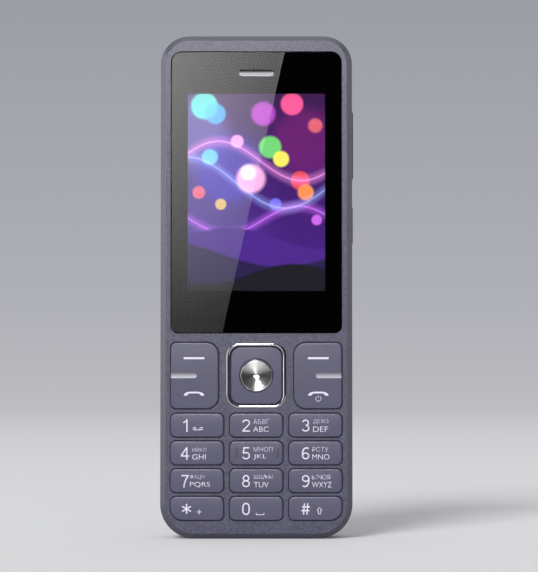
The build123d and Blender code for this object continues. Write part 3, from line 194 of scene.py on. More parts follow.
def spun_metal(name, colour, centre):
    """Turned metal: fine rings round centre, and a highlight that spreads into wedges."""
    shader = Shader(name)
    rings = shader.add("ShaderNodeTexNoise", noise_dimensions="1D")
    rings.inputs["Scale"].default_value = 1 / (0.07 * MM)
    rings.inputs["Detail"].default_value = 4.0
    shader.join(shader.distance(centre.x, centre.z), rings.inputs["W"])
    marks = rings.outputs["Fac"]
    shader.put(
        Base_Color=shader.blend(marks, scaled(colour, 0.8), scaled(colour, 1.1)),
        Roughness=shader.ramp(marks, 0.3, 0.7, 0.18, 0.24),
        Metallic=1.0,
        Anisotropic=0.9,
        Anisotropic_Rotation=0.25,
        Tangent=shader.add("ShaderNodeTangent", direction_type="RADIAL", axis="Y").outputs[0],
    )
    shader.bump(marks, 0.0012 * MM)
    return shader.material


def silver_inlay(name):
    """Satin silver strip, brushed along its length, darker at its top and brighter lower down:
    painted shade under its upper edge and a painted highlight on its lower half.
    """
    shader = Shader(name)
    low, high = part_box("left_inlay")
    marks = shader.noise(0.08 * MM, 3.0, (0.05, 1, 1))
    # Painted shade and highlight: the strip's colour runs from dark at its top to bright at its foot
    painted_highlight_share = shader.ramp(shader.axes()[2], low.z, high.z, 1.0, 0.0)
    silver = shader.blend(painted_highlight_share, tone(124, 124, 131), tone(196, 196, 202))
    shader.put(
        Base_Color=shader.blend(shader.ramp(marks, 0.3, 0.7, 0.0, 0.25), silver, tone(120, 120, 128)),
        Roughness=shader.ramp(marks, 0.3, 0.7, 0.34, 0.46),
        Metallic=0.55,
    )
    shader.bump(marks, 0.003 * MM)
    return shader.material


def woven_mesh(name):
    """Metal gauze: two sets of wires that cross at a slant, one of them brighter. Between the wires
    it has painted shade, and along its top, under the upper rim of its slot, a painted shadow."""
    shader = Shader(name)
    x, _, z = shader.axes()
    pitch = 0.7 * MM
    wires = []
    for lean in (1.0, -1.0):
        slant = shader.math("ADD", x, shader.math("MULTIPLY", z, lean))
        turn = shader.math("SINE", shader.math("MULTIPLY", slant, 2 * math.pi / pitch))
        wires.append(shader.ramp(turn, -0.5, 0.5))
    weave = shader.math("MAXIMUM", wires[0], shader.math("MULTIPLY", wires[1], 0.45))
    # Painted shade in the gaps between the wires, where holes would show the dark behind
    gauze_with_painted_gaps = shader.blend(weave, tone(52, 52, 55), tone(236, 236, 240))
    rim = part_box("earpiece_mesh")[1].z - 0.35 * MM
    fade = 0.25 * MM
    # Painted shadow: a dark band along the top of the mesh, under the upper rim of its slot
    painted_rim_shadow = shader.ramp(z, rim - fade, rim)
    shader.put(
        Base_Color=shader.blend(painted_rim_shadow, gauze_with_painted_gaps, tone(12, 12, 13)),
        Metallic=0.25,
        Roughness=0.5,
    )
    shader.bump(weave, 0.05 * MM)
    return shader.material


def clear_lens(name):
    """Clear front lens. Its polish has a long, very shallow wave."""
    shader = Shader(name)
    shader.put(Base_Color=tone(250, 250, 252), Transmission_Weight=1.0, IOR=1.5, Roughness=0.0)
    shader.bump(shader.noise(size=22 * MM, detail=1.0), 0.002 * MM)
    return shader.material


def glass(name, colour, roughness=0.0):
    """Clear or tinted plastic glass with faint smears in its polish."""
    shader = Shader(name)
    smear = shader.noise(14 * MM, 3.0, (1, 1, 0.4))
    shader.put(
        Base_Color=colour,
        Roughness=shader.ramp(smear, 0.35, 0.75, roughness, roughness + 0.01),
        Transmission_Weight=1.0,
        IOR=1.5,
    )
    return shader.material


def printed(name, colour, roughness=0.45, specular=0.5):
    """Printed or painted film, with the fine unevenness of screen ink."""
    shader = Shader(name)
    ink = shader.noise(size=0.12 * MM)
    shader.put(
        Base_Color=shader.blend(ink, scaled(colour, 0.92), scaled(colour, 1.05)),
        Roughness=roughness,
        Specular_IOR_Level=specular,
    )
    shader.bump(ink, 0.004 * MM)
    return shader.material


def rubber(name, colour):
    """Silicone rubber: soft sheen, slightly cloudy."""
    shader = Shader(name)
    cloud = shader.noise(1.2 * MM, 3.0)
    shader.put(
        Base_Color=shader.blend(cloud, scaled(colour, 0.85), colour),
        Roughness=0.6,
        Sheen_Weight=0.2,
        Subsurface_Weight=0.15,
        Subsurface_Scale=1 * MM,
    )
    shader.bump(cloud, 0.01 * MM)
    return shader.material


def circuit_board(name):
    """Green solder mask over copper traces and pads."""
    shader = Shader(name)
    traces = shader.add("ShaderNodeTexBrick")
    traces.inputs["Scale"].default_value = 1 / (2.2 * MM)
    traces.inputs["Mortar Size"].default_value = 0.05
    traces.inputs["Brick Width"].default_value = 1.7
    traces.inputs["Row Height"].default_value = 0.35
    upright = shader.add("ShaderNodeMapping")
    upright.inputs["Rotation"].default_value = (math.pi / 2, 0, 0)
    shader.join(shader.place, upright.inputs["Vector"])
    shader.join(upright.outputs[0], traces.inputs["Vector"])
    gaps = traces.outputs["Fac"]
    shader.put(
        Base_Color=shader.blend(gaps, tone(12, 74, 44), tone(38, 112, 70)),
        Roughness=0.35,
        Coat_Weight=0.4,
        Coat_Roughness=0.15,
    )
    shader.bump(gaps, 0.02 * MM)
    return shader.material


def flex_circuit(name):
    """Amber film with parallel copper lines."""
    shader = Shader(name)
    wave = shader.add("ShaderNodeTexWave", bands_direction="X")
    wave.inputs["Scale"].default_value = 1 / (9 * MM)
    shader.join(shader.place, wave.inputs["Vector"])
    copper = shader.ramp(wave.outputs["Fac"], 0.4, 0.6)
    shader.put(
        Base_Color=shader.blend(copper, tone(122, 70, 20), tone(176, 112, 44)),
        Roughness=0.3,
        Coat_Weight=0.5,
    )
    shader.bump(copper, 0.01 * MM)
    return shader.material


# Finish of every CAD node
BODY_COLOUR = tone(85, 84, 108)
KEY_COLOUR = tone(86, 84, 109)
housing = moulded(
    "grained_housing",
    BODY_COLOUR,
    0.42,
    grain=0.4 * MM,
    depth=0.035 * MM,
    speckle=0.42,
    everywhere=False,
)
key_plastic = moulded("key_plastic", KEY_COLOUR, 0.38, grain=0.2 * MM, depth=0.006 * MM, speckle=0.08)
black_plastic = moulded("black_plastic", tone(30, 30, 33), 0.5, grain=0.3 * MM)
steel = metal("stamped_steel", tone(190, 190, 194), 0.3, stretch=(1, 1, 0.05))
gold = metal("gold_plate", tone(226, 184, 96), 0.28)
polished = metal("polished_trim", tone(186, 186, 193), 0.12, depth=0.0003 * MM)
dark_metal = metal("dark_trim", tone(96, 96, 102), 0.3, stretch=(1, 0.05, 1))
silicone = rubber("silicone", tone(196, 198, 204))
flex = flex_circuit("flex_circuit")

finishes = {
    housing: ["front_housing", "battery_cover"],
    key_plastic: [name for name in nodes if name.startswith("key_") and name != "key_domes"]
    + ["left_key", "right_key", "nav_pad", "volume_key", "power_key"],
    black_plastic: [
        "rear_housing",
        "earpiece_speaker",
        "usb_tongue",
        "camera_module",
        "loudspeaker",
        "audio_jack",
        "nav_carrier",
    ],
    steel: [
        "lcd_frame",
        "key_domes",
        "side_switches",
        "sim_holder_1",
        "sim_holder_2",
        "memory_card_holder",
        "radio_shield",
        "processor_shield",
        "usb_shell",
        "vibration_motor",
    ],
    gold: ["battery_contacts", "microphone"],
    polished: ["nav_ring"],
    silver_inlay("silver_inlay"): ["left_inlay", "right_inlay"],
    dark_metal: ["camera_ring", "case_screws", "motor_weight"],
    woven_mesh("woven_mesh"): ["earpiece_mesh"],
    silicone: ["keypad_mat", "mic_boot"],
    flex: ["lcd_flex", "antenna_flex"],
    circuit_board("circuit_board"): ["main_board"],
    clear_lens("clear_lens"): ["display_lens"],
    glass("camera_glass", tone(60, 62, 78)): ["camera_window"],
    glass("clear_pipe", tone(240, 240, 236), roughness=0.15): ["flash_light_pipe"],
    printed("lens_ink", tone(6, 7, 9), roughness=0.6, specular=0.0): ["lens_tape"],
    printed("dome_film_sheet", tone(205, 203, 196)): ["dome_film"],
    printed("backlight_sheet", tone(228, 228, 226)): ["lcd_backlight"],
    printed("led_phosphor", tone(232, 214, 90)): ["flash_led"],
    moulded("battery_wrap", tone(58, 60, 66), 0.38, grain=0.5 * MM): ["battery"],
}


def coat_node(node, material):
    """Puts one material on every slot of a CAD node."""
    slots = nodes[node].data.materials
    slots.clear()
    slots.append(material)


for material, names in finishes.items():
    for name in names:
        coat_node(name, material)
ok_low, ok_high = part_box("ok_button")
coat_node("ok_button", spun_metal("spun_button", tone(206, 206, 206), (ok_low + ok_high) / 2))


# Picture on the screen: soft lights over dark waves, on a violet ground
PANEL_SIDE = 2.6 * MM
PANEL_TOP = 1.5 * MM
PANEL_BOTTOM = 4.8 * MM
panel_low, panel_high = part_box("lcd_panel")
picture_low = Vector((panel_low.x + PANEL_SIDE, 0, panel_low.z + PANEL_BOTTOM))
picture_high = Vector((panel_high.x - PANEL_SIDE, 0, panel_high.z - PANEL_TOP))
# Each light: across and up as shares of the picture, radius and softness of the edge in mm,
# colour, opacity
LIGHT_SHARES = [
    (0.02, 0.80, 9.0, 6.0, (120, 110, 190), 0.50),
    (0.30, 0.62, 8.5, 4.5, (70, 60, 200), 0.45),
    (0.86, 0.76, 8.0, 5.0, (120, 20, 110), 0.50),
    (0.12, 0.94, 3.4, 0.9, (110, 226, 214), 0.85),
    (0.20, 0.90, 2.6, 0.8, (90, 190, 240), 0.70),
    (0.55, 0.90, 3.0, 1.2, (214, 84, 226), 0.60),
    (0.76, 0.95, 2.8, 0.9, (255, 90, 150), 0.85),
    (0.93, 0.84, 1.8, 0.8, (240, 110, 110), 0.70),
    (0.16, 0.68, 2.0, 0.7, (110, 205, 245), 0.85),
    (0.36, 0.76, 1.6, 0.6, (250, 170, 235), 0.80),
    (0.60, 0.73, 2.8, 0.8, (110, 214, 110), 0.85),
    (0.68, 0.67, 2.0, 0.7, (255, 236, 90), 0.85),
    (0.46, 0.57, 3.6, 1.4, (255, 186, 226), 0.80),
    (0.44, 0.60, 2.0, 1.0, (255, 240, 250), 0.70),
    (0.82, 0.56, 2.4, 0.7, (235, 70, 60), 0.80),
    (0.86, 0.50, 2.0, 0.8, (255, 150, 60), 0.80),
    (0.08, 0.50, 1.6, 0.6, (240, 110, 120), 0.75),
    (0.24, 0.44, 1.4, 0.5, (236, 200, 110), 0.75),
    (0.64, 0.44, 1.5, 0.6, (120, 110, 255), 0.75),
    (0.94, 0.36, 1.3, 0.6, (220, 110, 240), 0.70),
]
# Each ribbon of light: height, sway, turns and start, as shares and angles, then its colour
RIBBON_SHARES = [
    (0.66, 0.10, 5.2, 0.4, (255, 150, 235)),
    (0.55, 0.13, 4.4, 1.6, (150, 170, 255)),
    (0.36, 0.07, 6.0, 3.0, (205, 110, 255)),
]
# Each glow of a ribbon: how far it reaches, and its strength
GLOW_SHARES = [(0.045, 0.28), (0.008, 0.55)]
# Each dark wave at the foot, in the same values as a ribbon
WAVE_SHARES = [
    (0.27, 0.055, 4.6, 0.2, (66, 26, 124)),
    (0.19, 0.065, 3.7, 2.2, (30, 14, 66)),
    (0.09, 0.05, 5.0, 4.0, (8, 6, 18)),
]
# Span below and above a wave's edge over which it fades in
WAVE_EDGE_SHARES = (-0.006, 0.012)


def screen_picture(name):
    """Lit picture: a violet ground, soft discs, ribbons of light and dark waves at the foot."""
    shader = Shader(name)
    x, _, z = shader.axes()
    across = shader.ramp(x, picture_low.x, picture_high.x, smooth=False)
    up = shader.ramp(z, picture_low.z, picture_high.z, smooth=False)
    left = shader.blend(up, tone(70, 44, 150), tone(70, 44, 92))
    right = shader.blend(up, tone(60, 14, 120), tone(52, 4, 70))
    colour = shader.blend(shader.ramp(across, 0.1, 0.75), left, right)
    width = picture_high.x - picture_low.x
    height = picture_high.z - picture_low.z

    def wavy(height_share, sway, turns, start):
        """Height of a wavy line over the picture's foot, as a share of the picture."""
        angle = shader.math("ADD", shader.math("MULTIPLY", across, turns), start)
        swing = shader.math("MULTIPLY", shader.math("SINE", angle), sway)
        return shader.math("ADD", swing, height_share)

    for share_x, share_z, radius, soft, hue, opacity in LIGHT_SHARES:
        distance = shader.distance(picture_low.x + share_x * width, picture_low.z + share_z * height)
        inner, outer = (radius - soft / 2) * MM, (radius + soft / 2) * MM
        disc = shader.ramp(distance, outer, inner, 0.0, opacity)
        colour = shader.blend(disc, colour, tone(*hue))
    for height_share, sway, turns, start, hue in RIBBON_SHARES:
        line = wavy(height_share, sway, turns, start)
        gap = shader.math("ABSOLUTE", shader.math("SUBTRACT", up, line))
        for reach, strength in GLOW_SHARES:
            glow = shader.ramp(gap, reach, 0.0, 0.0, strength)
            colour = shader.blend(glow, colour, tone(*hue), "SCREEN")
    for height_share, sway, turns, start, hue in WAVE_SHARES:
        below = shader.math("SUBTRACT", wavy(height_share, sway, turns, start), up)
        colour = shader.blend(shader.ramp(below, *WAVE_EDGE_SHARES), colour, tone(*hue))
    shader.put(
        Base_Color=shader.blend(0.5, colour, [0, 0, 0, 1]),
        Emission_Color=colour,
        Emission_Strength=1.0,
        Roughness=0.5,
        Specular_IOR_Level=0.0,
    )
    return shader.material


coat_node("lcd_panel", screen_picture("screen_picture"))


# Legends: thin raised ink that follows the front of each key. It stands out of the key by
# INK_STAND, reaches into it by INK_SINK, and its points are at most INK_STEP apart
INK_STAND = 0.014 * MM
INK_SINK = 0.02 * MM
INK_STEP = 0.35 * MM
# A place well in front of the phone, from which the front of a key is looked for
AHEAD_Y = -0.05
# Letters are drawn a little thinner than their font, by this share of its size
THINNED_SHARE = 0.004
white_ink = printed("white_ink", tone(238, 235, 252))
faint_ink = printed("faint_ink", tone(212, 208, 230))
surfaces = {}


def front_of(node, x, z):
    """Where a line straight back, at x and z, first meets a node."""
    if node not in surfaces:
        mesh = nodes[node].data
        corners = [v.co for v in mesh.vertices]
        surfaces[node] = BVHTree.FromPolygons(corners, [p.vertices for p in mesh.polygons])
    hit = surfaces[node].ray_cast(Vector((x, AHEAD_Y, z)), Vector((0, 1, 0)))[0]
    return hit.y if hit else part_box(node)[0].y


def object_from(name, mesh, body, material):
    """Puts a finished mesh into the scene, on a CAD body. A key's body has the key's name."""
    made = into_scene(name, mesh)
    made.data.materials.clear()
    made.data.materials.append(material)
    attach(made, body)
    return made


def mesh_of(curve):
    """Mesh of a curve or a text, as Blender draws it."""
    drawn = into_scene(curve.name, curve)
    bpy.context.view_layer.update()
    evaluated = drawn.evaluated_get(bpy.context.evaluated_depsgraph_get())
    mesh = bpy.data.meshes.new_from_object(evaluated)
    bpy.data.objects.remove(drawn)
    return mesh


def plate(name, outline, key, material):
    """Closed thin plate on the front of a key, from an outline of (x, z) points."""
    count = len(outline)
    verts = [(x, front_of(key, x, z) - INK_STAND, z) for x, z in outline]
    verts += [(x, y + INK_STAND + INK_SINK, z) for x, y, z in verts]
    faces = [list(range(count)), [count + i for i in reversed(range(count))]]
    for i in range(count):
        after = (i + 1) % count
        faces.append([i, count + i, count + after, after])
    mesh = bpy.data.meshes.new(name)
    mesh.from_pydata(verts, [], faces)
    mesh.update()
    return object_from(name, mesh, key, material)


def word(name, words, height, left, foot, key, material, width=None):
    """Raised word whose capitals are height tall, from its left edge and its foot."""
    curve = bpy.data.curves.new(name, "FONT")
    curve.body = words
    curve.resolution_u = 6
    curve.offset = -THINNED_SHARE
    mesh = mesh_of(curve)
    xs = [v.co.x for v in mesh.vertices]
    ys = [v.co.y for v in mesh.vertices]
    grow = height / (max(ys) - min(ys))
    grow_x = width / (max(xs) - min(xs)) if width else grow
    low_x, low_y = min(xs), min(ys)
    for v in mesh.vertices:
        x, z = (v.co.x - low_x) * grow_x + left, (v.co.y - low_y) * grow + foot
        v.co = (x, front_of(key, x, z) - INK_STAND, z)
    made = object_from(name, mesh, key, material)
    thick = made.modifiers.new("ink", "SOLIDIFY")
    thick.thickness = INK_STAND + INK_SINK
    thick.offset = -1
    return made


def divided(line):
    """A line of points with more between them, so that ink can follow a curved key."""
    points = [line[0]]
    for (x0, z0), (x1, z1) in zip(line, line[1:]):
        steps = max(1, math.ceil(math.hypot(x1 - x0, z1 - z0) / INK_STEP))
        for i in range(1, steps):
            points.append((x0 + (x1 - x0) * i / steps, z0 + (z1 - z0) * i / steps))
        points.append((x1, z1))
    return points


def strokes(name, lines, weight, key, material):
    """Lines of ink, weight wide, through lists of (x, z) points: low rounded beads."""
    curve = bpy.data.curves.new(name, "CURVE")
    curve.dimensions = "3D"
    curve.bevel_depth = weight / 2
    curve.bevel_resolution = 1
    curve.use_fill_caps = True
    for line in map(divided, lines):
        closed = line[0] == line[-1]
        points = line[:-1] if closed else line
        spline = curve.splines.new("POLY")
        spline.points.add(len(points) - 1)
        for point, (x, z) in zip(spline.points, points):
            point.co = (x, 0, z, 1)
        spline.use_cyclic_u = closed
    mesh = mesh_of(curve)
    for v in mesh.vertices:
        share = v.co.y / (weight / 2)
        v.co.y = front_of(key, v.co.x, v.co.z) + share * (INK_STAND if share < 0 else INK_SINK)
    for polygon in mesh.polygons:
        polygon.use_smooth = True
    return object_from(name, mesh, key, material)


def arc(across, up, wide, tall, start, end, steps=14):
    """Points of an elliptic arc, from one angle in degrees to another."""
    turns = [math.radians(start + (end - start) * i / steps) for i in range(steps + 1)]
    return [(across + wide * math.cos(t), up + tall * math.sin(t)) for t in turns]


def loop(across, up, wide, tall):
    """Closed ellipse, whose last point is its first."""
    points = arc(across, up, wide, tall, 90, 450, steps=24)
    return points[:-1] + [points[0]]


# Lines of each sign, as shares of its height, from its left foot. The 9 is the 6, turned round
DIGIT_WIDTH_SHARE = 0.60
SIX_SHARES = [
    loop(0.31, 0.30, 0.215, 0.225),
    [(0.095, 0.30)] + arc(0.365, 0.50, 0.27, 0.43, 180, 58),
]
DIGIT_SHARES = {
    "0": [
        arc(0.30, 0.65, 0.215, 0.28, 180, 0) + arc(0.30, 0.35, 0.215, 0.28, 0, -180) + [(0.085, 0.65)]
    ],
    "1": [[(0.36, 0.0), (0.36, 1.0)], [(0.36, 0.95), (0.26, 0.80), (0.10, 0.73)]],
    "2": [
        arc(0.30, 0.71, 0.225, 0.22, 172, -35) + [(0.36, 0.42), (0.17, 0.22), (0.07, 0.08)],
        [(0.03, 0.07), (0.56, 0.07)],
    ],
    "3": [arc(0.28, 0.72, 0.195, 0.21, 165, -90), arc(0.28, 0.295, 0.225, 0.225, 90, -165)],
    "4": [[(0.43, 0.0), (0.43, 0.98)], [(0.43, 0.96), (0.05, 0.31)], [(0.02, 0.29), (0.60, 0.29)]],
    "5": [
        [(0.10, 0.93), (0.51, 0.93)],
        [(0.155, 0.95), (0.105, 0.50)],
        arc(0.29, 0.315, 0.235, 0.245, 140, -160),
    ],
    "6": SIX_SHARES,
    "7": [[(0.05, 0.93), (0.56, 0.93)], [(0.53, 0.93), (0.38, 0.66), (0.27, 0.34), (0.23, 0.0)]],
    "8": [loop(0.30, 0.725, 0.185, 0.205), loop(0.30, 0.295, 0.225, 0.225)],
    "9": [[(DIGIT_WIDTH_SHARE - x, 1 - z) for x, z in line] for line in SIX_SHARES],
    "*": [
        [(0.36 + math.cos(t) * r, 0.5 + math.sin(t) * r) for r in (-0.40, 0.40)]
        for t in (math.radians(90), math.radians(30), math.radians(-30))
    ],
    "#": [
        [(0.20, 0.06), (0.28, 0.94)],
        [(0.46, 0.06), (0.54, 0.94)],
        [(0.03, 0.36), (0.67, 0.36)],
        [(0.07, 0.66), (0.71, 0.66)],
    ],
}
DIGIT_HEIGHT = 3.2 * MM
# Digits are wider than their shares say, and stand a little under the middle of the key
DIGIT_STRETCH = 1.14
DIGIT_DROP = 0.1 * MM
DIGIT_WEIGHT = 0.38 * MM
LETTER_HEIGHT = 1.38 * MM
UPPER_HEIGHT = 1.2 * MM
# Edge of a key that lies hidden under the housing
KEY_LIP = 0.6 * MM
# From the left edge of a key to the middle of its digit, by column
DIGIT_MIDDLES = [3.68 * MM, 4.13 * MM, 4.23 * MM]
STAR_SHIFT = 0.4 * MM
# Keys of each row, with their digits
KEY_ROWS = [
    {"key_1": "1", "key_2": "2", "key_3": "3"},
    {"key_4": "4", "key_5": "5", "key_6": "6"},
    {"key_7": "7", "key_8": "8", "key_9": "9"},
    {"key_star": "*", "key_0": "0", "key_hash": "#"},
]
# Letters of a key, their start from its left edge and their width in mm, and the letters above
KEY_LETTERS = {
    "key_2": ("ABC", 5.9, 3.9, "АБВГ"),
    "key_3": ("DEF", 6.1, 3.8, "ДЕЖЗ"),
    "key_4": ("GHI", 5.5, 3.4, "ИЙКЛ"),
    "key_5": ("JKL", 6.0, 3.3, "МНОП"),
    "key_6": ("MNO", 5.9, 4.3, "РСТУ"),
    "key_7": ("PQRS", 4.9, 5.1, "ФХЦЧ"),
    "key_8": ("TUV", 6.1, 3.7, "ШЩЪЫ"),
    "key_9": ("WXYZ", 5.8, 4.95, "ЬЭЮЯ"),
}


def legend_corner(key):
    """Left edge of a key, and the height at which its digit and its letters stand."""
    low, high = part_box(key)
    return low.x + KEY_LIP, (low.z + high.z) / 2 - DIGIT_HEIGHT / 2 - DIGIT_DROP


def digit_on(key, digit, middle):
    """Digit of a key, whose middle lies at a distance from the key's left edge."""
    left, foot = legend_corner(key)
    lines = DIGIT_SHARES[digit]
    xs = [x for line in lines for x, _ in line]
    wide = DIGIT_HEIGHT * (1.0 if digit in "*#" else DIGIT_STRETCH)
    start = left + middle - (min(xs) + max(xs)) / 2 * wide
    placed = [[(start + x * wide, foot + z * DIGIT_HEIGHT) for x, z in line] for line in lines]
    strokes(f"{key}_digit", placed, DIGIT_WEIGHT, key, white_ink)


def letters_on(key, letters, start, width, upper):
    """Letters at the foot of a key's digit, and smaller ones level with its top."""
    left, foot = legend_corner(key)
    first = left + start * MM
    upper_foot = foot + DIGIT_HEIGHT - UPPER_HEIGHT
    word(f"{key}_letters", letters, LETTER_HEIGHT, first, foot, key, white_ink, width * MM)
    word(f"{key}_upper_letters", upper, UPPER_HEIGHT, first, upper_foot, key, faint_ink)


for row in KEY_ROWS:
    for (key, digit), middle in zip(row.items(), DIGIT_MIDDLES):
        digit_on(key, digit, middle + (STAR_SHIFT if digit == "*" else 0))
        if key in KEY_LETTERS:
            letters_on(key, *KEY_LETTERS[key])


# Small signs beside the 1, the star, the 0 and the hash: the place of each, from the middle of
# its key, and its lines, from its own middle, in mm
SIGN_WEIGHT = 0.2 * MM
REEL_X = 0.85
REEL_WIDE = 0.36
REEL_TALL = 0.32
REELS = [
    loop(-REEL_X, 0, REEL_WIDE, REEL_TALL),
    loop(REEL_X, 0, REEL_WIDE, REEL_TALL),
    [(-REEL_X, -REEL_TALL), (REEL_X, -REEL_TALL)],
]
PLUS = [[(-0.6, 0), (0.6, 0)], [(0, -0.6), (0, 0.6)]]
TRAY = [[(-0.96, 0.46), (-0.96, 0), (0.96, 0), (0.96, 0.46)]]
ARROW = [
    [(0, 0.8), (-0.65, 0), (-0.3, 0), (-0.3, -0.85), (0.3, -0.85), (0.3, 0), (0.65, 0), (0, 0.8)]
]
SMALL_SIGNS = {
    "key_1": ((0.2, -0.86), REELS),
    "key_star": ((0.55, -0.85), PLUS),
    "key_0": ((0.96, -1.54), TRAY),
    "key_hash": ((1.0, -0.5), ARROW),
}
# Signs of the function keys in mm: a dash above the inlay and a handset below it, each with its
# height over the middle of the key. The handset is given by its right half
DASH = [(-2.6, 0.0), (2.6, 0.0), (2.6, 0.5), (-2.6, 0.5)]
HANDSET_OUTSIDE = [(2.6, 0.0), (2.42, 0.42), (2.05, 0.74), (1.45, 0.93), (0.7, 1.0)]
HANDSET_INSIDE = [(1.1, 0.56), (1.45, 0.42), (1.68, 0.18), (1.72, 0.0)]
HANDSET = (
    [(-x, z) for x, z in HANDSET_OUTSIDE]
    + HANDSET_OUTSIDE[::-1]
    + HANDSET_INSIDE[::-1]
    + [(-x, z) for x, z in HANDSET_INSIDE]
)
FUNCTION_SIGNS = {"dash": (DASH, 4.13), "handset": (HANDSET, -5.04)}
# How far these signs stand right of the middle of their key
FUNCTION_SHIFTS = {"left_key": -0.15, "right_key": 0.07}
# Small power sign under the right handset: an open ring with a stroke through its gap
POWER_PLACE = (0.1, -5.79)
POWER_RADIUS = 0.66
POWER_SIGN = [arc(0, 0, POWER_RADIUS, POWER_RADIUS, 130, 410, steps=20), [(0, 0.2), (0, 0.75)]]


def on_key(key, place, points):
    """Points of a sign, in mm, taken to their place from the middle of a key."""
    low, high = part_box(key)
    middle = (low + high) / 2
    return [(middle.x + (place[0] + x) * MM, middle.z + (place[1] + z) * MM) for x, z in points]


for key, (place, lines) in SMALL_SIGNS.items():
    strokes(f"{key}_sign", [on_key(key, place, line) for line in lines], SIGN_WEIGHT, key, white_ink)
for key, shift in FUNCTION_SHIFTS.items():
    for sign, (outline, foot) in FUNCTION_SIGNS.items():
        plate(f"{key}_{sign}", on_key(key, (shift, foot), outline), key, white_ink)
power_lines = [on_key("right_key", POWER_PLACE, line) for line in POWER_SIGN]
strokes("right_key_power_sign", power_lines, SIGN_WEIGHT, "right_key", faint_ink)


# Studio: a floor that turns up into a wall
WALL_Y = 1.9
WALL_TOP = 2.4
FLOOR_NEAR_Y = -3.0
FLOOR_HALF_WIDTH = 3.0
BEND_RADIUS = 0.04
BEND_STEPS = 12
# Tone of the backdrop as the camera sees it, by the way along it: the floor at the phone, the foot of
# the wall, a little above it, and the top of the picture.
# Further back the paper glows with these tones, so its darkening up the wall is painted shade
BACKDROP_TONES = [
    (0.0, (217, 218, 221)),
    (WALL_Y, (188, 188, 193)),
    (WALL_Y + 0.13, (175, 176, 182)),
    (WALL_Y + 0.46, (155, 158, 165)),
]
# Light that reaches the open floor, as shares of red, green and blue
FLOOR_LIGHT = (0.745, 0.75, 0.785)
# Part of its tone with which the floor glows, a painted light that shows even in its shadow
FLOOR_GLOW = 0.03
# Stretch along the backdrop over which lit paper gives way to its glowing tone, painted light and
# shade
TONE_GLOW_FROM = 0.25
TONE_GLOW_TO = 0.80


def backdrop_mesh():
    """Floor, bend and wall, as wide as the studio."""
    bend_y = WALL_Y - BEND_RADIUS
    profile = [(FLOOR_NEAR_Y, 0.0), (bend_y, 0.0)]
    for step in range(1, BEND_STEPS + 1):
        turn = math.pi / 2 * step / BEND_STEPS
        profile.append((bend_y + BEND_RADIUS * math.sin(turn), BEND_RADIUS * (1 - math.cos(turn))))
    profile.append((WALL_Y, WALL_TOP))
    verts = [(x, y, z) for y, z in profile for x in (-FLOOR_HALF_WIDTH, FLOOR_HALF_WIDTH)]
    faces = [(2 * i, 2 * i + 1, 2 * i + 3, 2 * i + 2) for i in range(len(profile) - 1)]
    mesh = bpy.data.meshes.new("backdrop")
    mesh.from_pydata(verts, [], faces)
    for polygon in mesh.polygons:
        polygon.use_smooth = True
    return mesh


def backdrop_paper():
    """Paper of the backdrop. Near the phone it takes light and shadow as paper does, with a faint
    painted glow of its tone; further back it glows with its tone to the camera and to shiny and clear
    surfaces, a painted light whose darkening up the wall is painted shade."""
    shader = Shader("backdrop_paper")
    _, y, z = shader.axes()
    way = shader.math("ADD", y, z)
    ramp = shader.add("ShaderNodeValToRGB")
    span = BACKDROP_TONES[-1][0]
    shader.join(shader.math("DIVIDE", way, span), ramp.inputs[0])
    stops = ramp.color_ramp.elements
    while len(stops) < len(BACKDROP_TONES):
        stops.new(1.0)
    for stop, (place, colour) in zip(stops, BACKDROP_TONES):
        stop.position = place / span
        stop.color = tone(*colour)
    path = shader.add("ShaderNodeLightPath")
    seen = shader.math("MAXIMUM", path.outputs["Is Camera Ray"], path.outputs["Is Glossy Ray"])
    seen = shader.math("MAXIMUM", seen, path.outputs["Is Transmission Ray"])
    lift = [1 / share for share in FLOOR_LIGHT] + [1.0]
    shader.put(
        Base_Color=shader.blend(1.0, ramp.outputs[0], lift, "MULTIPLY"),
        Roughness=0.9,
        Specular_IOR_Level=0.1,
        Emission_Color=ramp.outputs[0],
        Emission_Strength=shader.math("MULTIPLY", seen, FLOOR_GLOW),
    )
    # Painted light: the backdrop's tone as a glow, shown further back in place of lit paper
    plain = shader.add("ShaderNodeEmission")
    shader.join(ramp.outputs[0], plain.inputs["Color"])
    mix = shader.add("ShaderNodeMixShader")
    shader.join(shader.math("MULTIPLY", seen, shader.ramp(way, TONE_GLOW_FROM, TONE_GLOW_TO)), mix.inputs[0])
    shader.join(shader.bsdf.outputs[0], mix.inputs[1])
    shader.join(plain.outputs[0], mix.inputs[2])
    shader.show(mix.outputs[0])
    return shader.material


def backdrop():
    """Backdrop under and behind the phone."""
    made = into_scene("backdrop", backdrop_mesh())
    made.data.materials.append(backdrop_paper())


def far_lamp(name, energy, angle, direction):
    """Light from far away, as soft as its angle in degrees. Shiny surfaces see the cards and not
    the lamp."""
    light = bpy.data.lights.new(name, "SUN")
    light.energy = energy
    light.angle = math.radians(angle)
    made = into_scene(name, light)
    made.rotation_euler = Vector(direction).to_track_quat("-Z", "Y").to_euler()
    made.visible_glossy = False


def studio_card(name, corners, glow):
    """Card that only shiny surfaces see. Its glow is a number, or a function that makes it from
    the card's shader and its coordinates x and z."""
    mesh = bpy.data.meshes.new(name)
    mesh.from_pydata(corners, [], [list(range(len(corners)))])
    made = into_scene(name, mesh)
    made.visible_camera = False
    made.visible_diffuse = False
    made.visible_transmission = False
    made.visible_shadow = False
    shader = Shader(name)
    x, _, z = shader.axes()
    strength = glow if isinstance(glow, float) else glow(shader, x, z)
    emission = shader.add("ShaderNodeEmission")
    shader.feed(emission.inputs["Strength"], strength)
    shader.show(emission.outputs[0])
    made.data.materials.append(shader.material)


def rectangle(left, right, low, high):
    """Corners of a rectangle."""
    return [(left, low), (right, low), (right, high), (left, high)]


